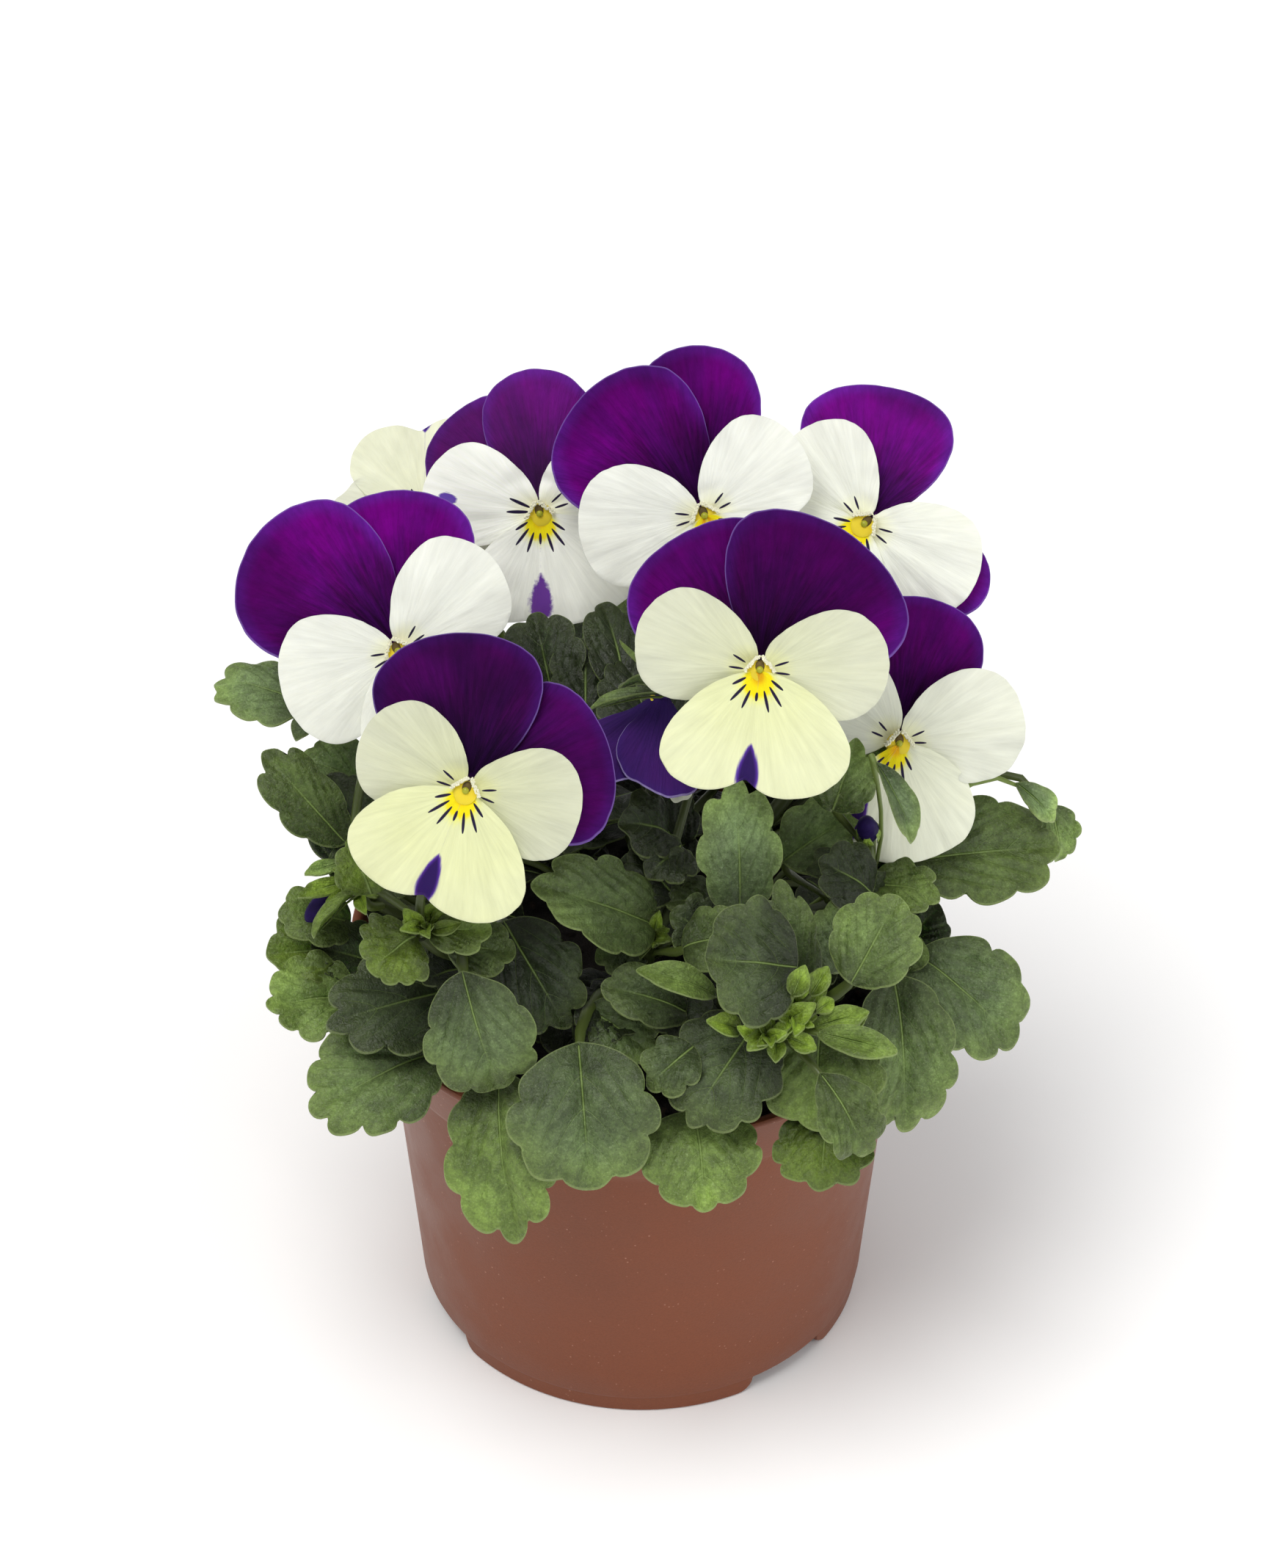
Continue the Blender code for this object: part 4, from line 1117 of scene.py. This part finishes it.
def back_leaves(name):
    """The hidden leaves of a back stem, fanned out by rule."""
    facing, count, spread = BACK_LEAVES[name]
    path = stem_path(name)
    rows = []
    for i in range(count):
        out = outward(facing + spread * (i / (count - 1) - 0.5))
        high = (i * 2) % 3
        base, _ = point_along(path, 0.45 + 0.2 * high)
        start = base + out * (BACK_LEAF_REACH - 3 * high) + Vector((0, 0, 1 + 2 * high))
        tip = reaching(start, out, BACK_LEAF_LENGTH - 2 * high, (7, 1, -5)[high])
        rows.append((start, tip, 20 - 2 * high, 0.2, 0.3 + 0.15 * high))
    return rows


def rosette(middle, tone_and_painted_light):
    """Tiny pointed leaves that spread from a growing tip."""
    chance = random.Random(str(middle))
    middle = Vector(middle)
    rows = []
    for i in range(9):
        turn = math.radians(40 * i + chance.uniform(-14, 14))
        rise = chance.uniform(0.1, 0.9)
        level = math.sqrt(1 - rise ** 2)
        out = Vector((math.cos(turn) * level, math.sin(turn) * level - 0.2, rise))
        length = chance.uniform(3.5, 6.5)
        width, roll = length * chance.uniform(0.5, 0.65), chance.uniform(-25, 25)
        # How light each is painted: its own tone together with painted light and shade.
        youth, light = chance.uniform(0.8, 0.95), tone_and_painted_light * chance.uniform(0.6, 1.4)
        rows.append((middle + out * 0.5, middle + out * length, width, youth, light, roll))
    return rows


def heart_leaves(name):
    """Leaves that close the plant's heart, painted dark as painted shade, in three tiers."""
    facing, spread, count = HEART_LEAVES[name]
    path = stem_path(name)
    chance = random.Random(name + "_heart")
    rows = []
    for i in range(count):
        out = outward(facing + spread * (i / (count - 1) - 0.5) + chance.uniform(-8, 8))
        base, _ = point_along(path, (0.2, 0.42, 0.62)[i % 3])
        start = base + out * chance.uniform(4, 8) + Vector((0, 0, chance.uniform(0, 3)))
        length = min(chance.uniform(14, 18), max(9, 46 - math.hypot(start.x, start.y)))
        tip = reaching(start, out, length, chance.uniform(-3, 4))
        width, roll = chance.uniform(12, 16), chance.uniform(-12, 12)
        # Their tone of 0.08 is painted shade.
        rows.append((start, tip, width, 0.1, 0.08, roll))
    return rows


def in_bloom(name):
    """The bloom's own frame: X right, Y up, Z towards the viewer of the bloom."""
    _stem, at, facing, _close, _petals = BLOOMS[name]
    matrix = Matrix(pose(*facing)).transposed().to_4x4()
    matrix.translation = Vector(at)
    return matrix


def calyx(blades, stalks, name):
    """Five pointed sepals with short lobes that point back, and the round receptacle."""
    matrix = in_bloom(name)
    middle = Vector((0, 1, 0))
    chance = random.Random(name + "_calyx")
    curl = 0.5 if name in HALF_OPEN else 0.0
    for i in range(5):
        turn = math.tau * i / 5 + chance.uniform(-0.08, 0.08)
        length = chance.uniform(8.4, 9.6)
        lift = curl * chance.uniform(0.4, 1.0)

        def sepal(x, y):
            u = (1 + y) / 2
            s = 1.0 + length * u
            t = 2.1 * x * (1 - u) ** 0.3 * (0.75 + 0.5 * u)
            z = -4.9 - (0.22 + lift) * s + 0.25 * abs(t) - 0.3 * math.exp(-(t / 0.4) ** 2)
            return matrix @ (middle + swing(s, t, z, turn)), (x, u, math.hypot(x, y))

        def lobe(x, y):
            u = (1 + y) / 2
            point = middle + swing(1.3 + 2.0 * u, 1.5 * x, -5.6 - 2.4 * u, turn)
            return matrix @ point, (x, u, math.hypot(x, y))

        blades.sheet((8, 14), sepal, 0.4, (0.45, 0.6, 5))
        blades.sheet((6, 6), lobe, 0.4, (0.5, 0.65, 4))
    heart = [matrix @ Vector((0, 1, z)) for z in (-4.4, -4.8, -5.4, -6.2, -7.0, -7.6)]
    stalks.tube(heart, (1.3, 1.8, 2.05, 1.95, 1.5, 1.1), 12)


def pedicel(stalks, name, path):
    """The bloom's stalk, from the stem up and over to the back of the calyx."""
    fraction, via, straight = PEDICELS[name]
    matrix = in_bloom(name)
    root, direction = point_along(path, fraction)
    end = matrix @ Vector((0, 1, -7.0))
    behind = matrix @ Vector((0, 1, -7.0 - straight))
    if via is None:
        run = (behind - root).length
        lead = root + direction * (0.2 * run) + Vector((0, 0, 0.45 * run))
        points = bezier((root, lead, behind, end), 26)
    else:
        middle = Vector(via)
        lower = bezier((root, root.lerp(middle, 0.4) + Vector((0, 0, 4)), middle), 4)
        lead = middle + (middle - lower[-2]).normalized() * (0.4 * (behind - middle).length)
        points = flowing(lower[:-1] + bezier((middle, lead, behind, end), 6), 4)
    radii = [0.85 - 0.1 * i / len(points) for i in range(len(points))]
    # Painted dark, as painted shade among the leaves.
    stalks.tube(points, radii, 10, tint=(0.5, 0.2, 0))


class PANSY_OT_stems(bpy.types.Operator):
    """Grows the eight leafy stems with their calyxes"""
    bl_idname = "pansy.stems"
    bl_label = "Stems and leaves"

    def execute(self, context):
        settings = context.scene.foliage_settings
        for name, (_mouth, _tip, light) in STEMS.items():
            path = stem_path(name)
            blades, stalks = Shape(), Shape()
            whole = flowing(path, 4)
            radii = [1.65 - 0.35 * i / len(whole) for i in range(len(whole))]
            # The stem is painted very dark: painted shade inside the plant.
            stalks.tube(whole, radii, 12, tint=(0.3, 0.1, 0))
            rows = [(row, True) for row in LEAVES[name]]
            if name in BACK_LEAVES:
                rows += [(row, True) for row in back_leaves(name)]
            for stem, middle, tone_and_painted_light in ROSETTES:
                if stem == name:
                    rows += [(row, True) for row in rosette(middle, tone_and_painted_light)]
            rows += [(row, False) for row in heart_leaves(name)]
            for i, (row, fine) in enumerate(rows):
                leaf(blades, stalks, f"{name}_{i}", path, light, row, fine, settings)
            for bloom, (stem, _at, _facing, _close, _petals) in BLOOMS.items():
                if stem == name:
                    pedicel(stalks, bloom, path)
                    calyx(blades, stalks, bloom)
            for stem, at, tip in BUDS.values():
                if stem == name:
                    bud_stalk(blades, stalks, path, Vector(at), Vector(tip))
            blades.finished(name.replace("stem", "leaves"), ["leaf_blade"], "leaves", [name])
            stalks.finished(name.replace("stem", "stalks"), ["green_stalk"], "leaves")
        return {"FINISHED"}


# --- blooms and buds --------------------------------------------------------------------------

def petal(shape, name, which, tint, settings):
    """One petal in the bloom's frame, with a ruffled edge and soft folds from the throat."""
    _stem, _at, _facing, close, petals = BLOOMS[name]
    turn, length, width = petals[which]
    swapped = which in PURPLE_PETALS and name in LEFT_OVER_RIGHT
    depth, lean, bend, first, notch = PETAL_FORMS[1 - which if swapped else which]
    notch_turn = math.radians(LIP_TURN.get(name, 0.0) if which == LIP else 0.0)
    notch = LIP_NOTCH.get(name, notch) if which == LIP else notch
    fullness = 0.0 if which in PURPLE_PETALS else 0.35
    rise = SIDE_RISE.get(which, 0.0)
    matrix = in_bloom(name)
    chance = random.Random(f"{name}_{which}")
    seed = chance.uniform(0, 50)
    turn, lean = math.radians(turn), math.radians(lean + close)
    ruffle = settings.ruffle / MM

    def place(x, y):
        around = math.atan2(x, y)
        reach = math.hypot(x, y)
        # The outline: the notch, then broad and fine unevenness.
        keep = 1 - notch * math.exp(-abs((around - 2 * notch_turn) / 0.25) ** 1.3) * reach ** 3
        keep *= 1 + 0.035 * reach ** 2 * wander(math.cos(around) * 1.4, math.sin(around) * 1.4, seed)
        keep *= 1 + 0.008 * reach ** 4 * wander(math.cos(around) * 7, math.sin(around) * 7, seed + 2)
        x, y = x * keep, y * keep
        # Out from the throat and aside.
        u = (1 + y) / 2
        s = first + (length - first) * u
        t = width / 2 * x * (1 + 0.12 * y) * (u + 0.02) ** 0.2 * (1 + fullness * math.exp(-u / 0.22))
        t += rise * math.exp(-u / 0.16)
        z = depth + math.hypot(s, t) * math.tan(lean) + bend * (2 * t / width) ** 2
        # Ruffles at the edge, folds from the throat, and the groove down the middle.
        spread = math.atan2(t, s + 2)
        out = min(1, math.hypot(s, t) / length)
        z += ruffle * 1.8 * reach ** 3 * wander(math.cos(around) * 2.3, math.sin(around) * 2.3, seed + 4)
        z += 0.8 * out * wander(spread * 3.2, out * 0.8, seed + 6)
        z += 0.22 * out * wander(spread * 11, out * 1.5, seed + 8)
        z -= 0.8 * math.exp(-((spread - notch_turn) / 0.1) ** 2) * out * (1.2 - out)
        return matrix @ swing(s, t, z, turn), swing(s, t, reach, -notch_turn)

    shape.sheet((40, 40), place, settings.thickness / MM, (*tint, length))


# The finishes of a bloom's lower half, and the places of three of them in this list.
LOWER_FINISHES = ("pale_petal", "green_knob", "white_beard", "dark_throat")
KNOB, DOWN, DARK = 1, 2, 3


def throat(shape, name):
    """The throat, its spur behind, the green knob in front and the white down on either side."""
    close = BLOOMS[name][3]
    matrix = in_bloom(name)
    turned = matrix.to_3x3()
    away = (30.0, 30.0, 0.5)  # beyond every mark of the pale finish
    top = 0.3 + 1.6 * math.tan(math.radians(close))
    plug = [matrix @ Vector((0, -0.3, z)) for z in (top - 0.05, top - 0.3, -1.1, 0.026 * close - 1.9)]
    shape.tube(plug, (1.45, 2.05, 2.1, 1.7), 20, tint=(1, 1, 20), flat=(0, 2.8, 0.5))
    back = flowing([(0, -0.9, -1.2), (0, -2.4, -2.6), (0, -3.4, -4.6), (0, -3.6, -7.6), (0, -3.6, -8.5)], 3)
    radii = [1.0] * (len(back) - 3) + [0.95, 0.8, 0.45]
    shape.tube([matrix @ p for p in back], radii, 12, tint=(0.4, 0, 20), flat=away)
    # A dark ball in the mouth of the throat: painted shade in the opening.
    shape.ball(squashed(matrix @ Vector((0, 0.75, top - 0.05)), turned, (0.8, 1.1, 0.3)), (16, 8), DARK)
    shape.ball(squashed(matrix @ Vector((0, 0.15, top + 0.15)), turned, (0.62, 0.62, 0.45)), (16, 10), KNOB)
    chance = random.Random(name + "_beard")
    for flank in (-1, 1):
        for i in range(56):
            way = i / 55
            out = chance.uniform(0, 0.7)
            at = Vector((flank * (0.1 + 2.3 * way + 0.5 * out), 2.3 - 2.6 * way + 0.5 * out,
                         top + 0.55 - 0.3 * out + chance.uniform(0, 0.25)))
            shape.bead(Matrix.Translation(matrix @ at) @ Matrix.Scale(chance.uniform(0.17, 0.28), 4), DOWN)


class PANSY_OT_blooms(bpy.types.Operator):
    """Opens the nine two-coloured blooms"""
    bl_idname = "pansy.blooms"
    bl_label = "Blooms"

    def execute(self, context):
        settings = context.scene.bloom_settings
        for name, (cream, pale, blue) in BLOOM_TONES.items():
            uppers = Shape()
            for which in PURPLE_PETALS:
                petal(uppers, name, which, (pale + UPPER_LIGHT.get((name, which), 0.0), blue), settings)
            matrix = in_bloom(name)
            claw = [matrix @ Vector(p) for p in ((0, 1.4, -2.4), (0, 1.7, -3.3), (0, 2.0, -4.2))]
            uppers.tube(claw, (1.3, 1.6, 1.3), 12, tint=(pale, blue, 20), flat=(0, 3, 0.2))
            uppers.finished(name + "_uppers", ["purple_petal"], "purple_petals", [name + "_purple"])
            lowers = Shape()
            for which in PALE_PETALS:
                kind = MARKINGS.get((name, which), 1.0 if which == LIP else 0.0)
                petal(lowers, name, which, (cream, kind), settings)
            throat(lowers, name)
            slot = "cream_petals" if name in CREAM_BLOOMS else "white_petals"
            lowers.finished(name + "_lowers", LOWER_FINISHES, slot, [name + "_pale"])
        return {"FINISHED"}


def bud_stalk(blades, stalks, path, at, tip):
    """The stalk up to a bud, and the sepals that hold its heel."""
    axis = (tip - at).normalized()
    heel = at - (tip - at) - axis * 0.35
    neck = heel - axis * 3
    root, _direction = point_below(path, at.z - 5)
    stalks.tube(flowing([root, root.lerp(neck, 0.5) + Vector((0, -3.6, 0)), neck, heel], 6),
                [0.9] * 19, 10, tint=(0.6, 0.6, 0))
    side = axis.orthogonal().normalized()
    for i in range(5):
        out = Matrix.Rotation(math.tau * i / 5, 3, axis) @ side
        over = axis.cross(out)

        def sepal(x, y):
            u = (1 + y) / 2
            span = 2 * (tip - at).length
            lift = 0.9 + 1.25 * math.sin(math.pi * min(1, u * 0.8 + 0.1)) ** 0.8
            t = 1.1 * x * (1 - u) ** 0.3
            point = heel + axis * (span * 0.66 * u - 0.4) + out * (lift - 0.12 * t * t) + over * t
            return point, (x, u, math.hypot(x, y))

        blades.sheet((6, 10), sepal, 0.3, (0.7, 0.6, 4))


class PANSY_OT_buds(bpy.types.Operator):
    """Sets the two unopened buds"""
    bl_idname = "pansy.buds"
    bl_label = "Buds"

    def execute(self, context):
        for name, (_stem, at, tip) in BUDS.items():
            at, tip = Vector(at), Vector(tip)
            shape = Shape()
            rings, radii = [], []
            for i in range(17):
                t = -1 + i / 8
                full = 1.95 * math.sqrt(max(1 - abs(t + 0.15) ** 2.2 / 1.36, 0.03))
                rings.append(at.lerp(tip, t))
                radii.append(lambda turn, full=full, t=t: full * (
                    1 - 0.1 * (1 - abs(math.sin(1.5 * turn + 1.2 * t)) ** 0.5)))
            shape.tube(rings, radii, 24, tint=(0, 0.6, 0))
            shape.finished(name + "_rolled", ["violet_bud"], "purple_petals", [name])
        return {"FINISHED"}


# --- stage ------------------------------------------------------------------------------------

CAMERA_DISTANCE = 1300.0
CAMERA_ELEVATION = 41.2
CAMERA_TARGET = (-0.85, 0.0, 117.4)
CAMERA_LENS = 169.06


def lamp(name, kind, at, direction, power, tint, **shape):
    """A light that shines in this direction. Its shape is given as the light's own settings."""
    light = bpy.data.lights.new(name, kind)
    for setting, value in {"energy": power, "color": tint, **shape}.items():
        setattr(light, setting, value)
    obj = bpy.data.objects.new(name, light)
    obj.location = at
    obj.rotation_euler = Vector(direction).to_track_quat("-Z", "Y").to_euler()
    bpy.context.scene.collection.objects.link(obj)


class PANSY_OT_stage(bpy.types.Operator):
    """Sets the pale floor, the soft lights and the camera"""
    bl_idname = "pansy.stage"
    bl_label = "Studio"

    def execute(self, context):
        scene, settings = context.scene, context.scene.studio_settings
        bm = bmesh.new()
        bmesh.ops.create_grid(bm, x_segments=1, y_segments=1, size=3.0)
        mesh = bpy.data.meshes.new("studio_floor")
        bm.to_mesh(mesh)
        bm.free()
        paint = Finish("studio_floor", 0.9)
        paint.set("Base Color", settings.floor[:])
        mesh.materials.append(paint.material)
        floor = bpy.data.objects.new("studio_floor", mesh)
        scene.collection.objects.link(floor)
        world = bpy.data.worlds.new("studio")
        world.use_nodes = True
        surround = world.node_tree.nodes["Background"]
        surround.inputs["Color"].default_value = (1, 1, 1, 1)
        surround.inputs["Strength"].default_value = settings.sky
        scene.world = world
        lamp("key", "SUN", (0, 0, 0), (0.28, 0.36, -1.15), settings.key, (1.0, 0.99, 0.97),
             angle=math.radians(36))
        lamp("fill", "AREA", (0.8, -0.6, 0.5), (-0.8, 0.6, -0.42), settings.fill, (0.97, 0.98, 1.0),
             shape="RECTANGLE", size=0.9, size_y=0.5)
        camera = bpy.data.objects.new("camera", bpy.data.cameras.new("camera"))
        camera.data.lens, camera.data.sensor_width, camera.data.clip_end = CAMERA_LENS, 36.0, 20.0
        tilt = math.radians(CAMERA_ELEVATION)
        look = Vector((0, math.cos(tilt), -math.sin(tilt)))
        camera.location = (Vector(CAMERA_TARGET) - look * CAMERA_DISTANCE) * MM
        camera.rotation_euler = (math.pi / 2 - tilt, 0, 0)
        scene.collection.objects.link(camera)
        scene.camera = camera
        scene.view_settings.view_transform = "Standard"
        return {"FINISHED"}


class PANSY_PT_panel(bpy.types.Panel):
    """Lists the steps of the plant and their settings"""
    bl_idname = "PANSY_PT_panel"
    bl_label = "Potted pansy"
    bl_space_type = "VIEW_3D"
    bl_region_type = "UI"
    bl_category = "Pansy"

    def draw(self, context):
        for operator, group in STEPS:
            box = self.layout.box()
            box.operator(operator.bl_idname)
            settings = getattr(context.scene, group)
            for name in settings.__annotations__:
                box.prop(settings, name)


# Each operator in order, and the settings shown with it.
STEPS = (
    (PANSY_OT_pot, "pot_settings"),
    (PANSY_OT_soil, "pot_settings"),
    (PANSY_OT_stems, "foliage_settings"),
    (PANSY_OT_blooms, "bloom_settings"),
    (PANSY_OT_buds, "bloom_settings"),
    (PANSY_OT_stage, "studio_settings"),
)
GROUPS = {
    "pot_settings": PotSettings,
    "foliage_settings": FoliageSettings,
    "bloom_settings": BloomSettings,
    "studio_settings": StudioSettings,
}


def register():
    for group, kind in GROUPS.items():
        bpy.utils.register_class(kind)
        setattr(bpy.types.Scene, group, PointerProperty(type=kind))
    for operator, _group in STEPS:
        bpy.utils.register_class(operator)
    bpy.utils.register_class(PANSY_PT_panel)


def unregister():
    bpy.utils.unregister_class(PANSY_PT_panel)
    for operator, _group in STEPS:
        bpy.utils.unregister_class(operator)
    for group, kind in GROUPS.items():
        delattr(bpy.types.Scene, group)
        bpy.utils.unregister_class(kind)


def main():
    register()
    bpy.ops.pansy.pot()
    bpy.ops.pansy.soil()
    bpy.ops.pansy.stems()
    bpy.ops.pansy.blooms()
    bpy.ops.pansy.buds()
    bpy.ops.pansy.stage()


if __name__ == "__main__":
    main()
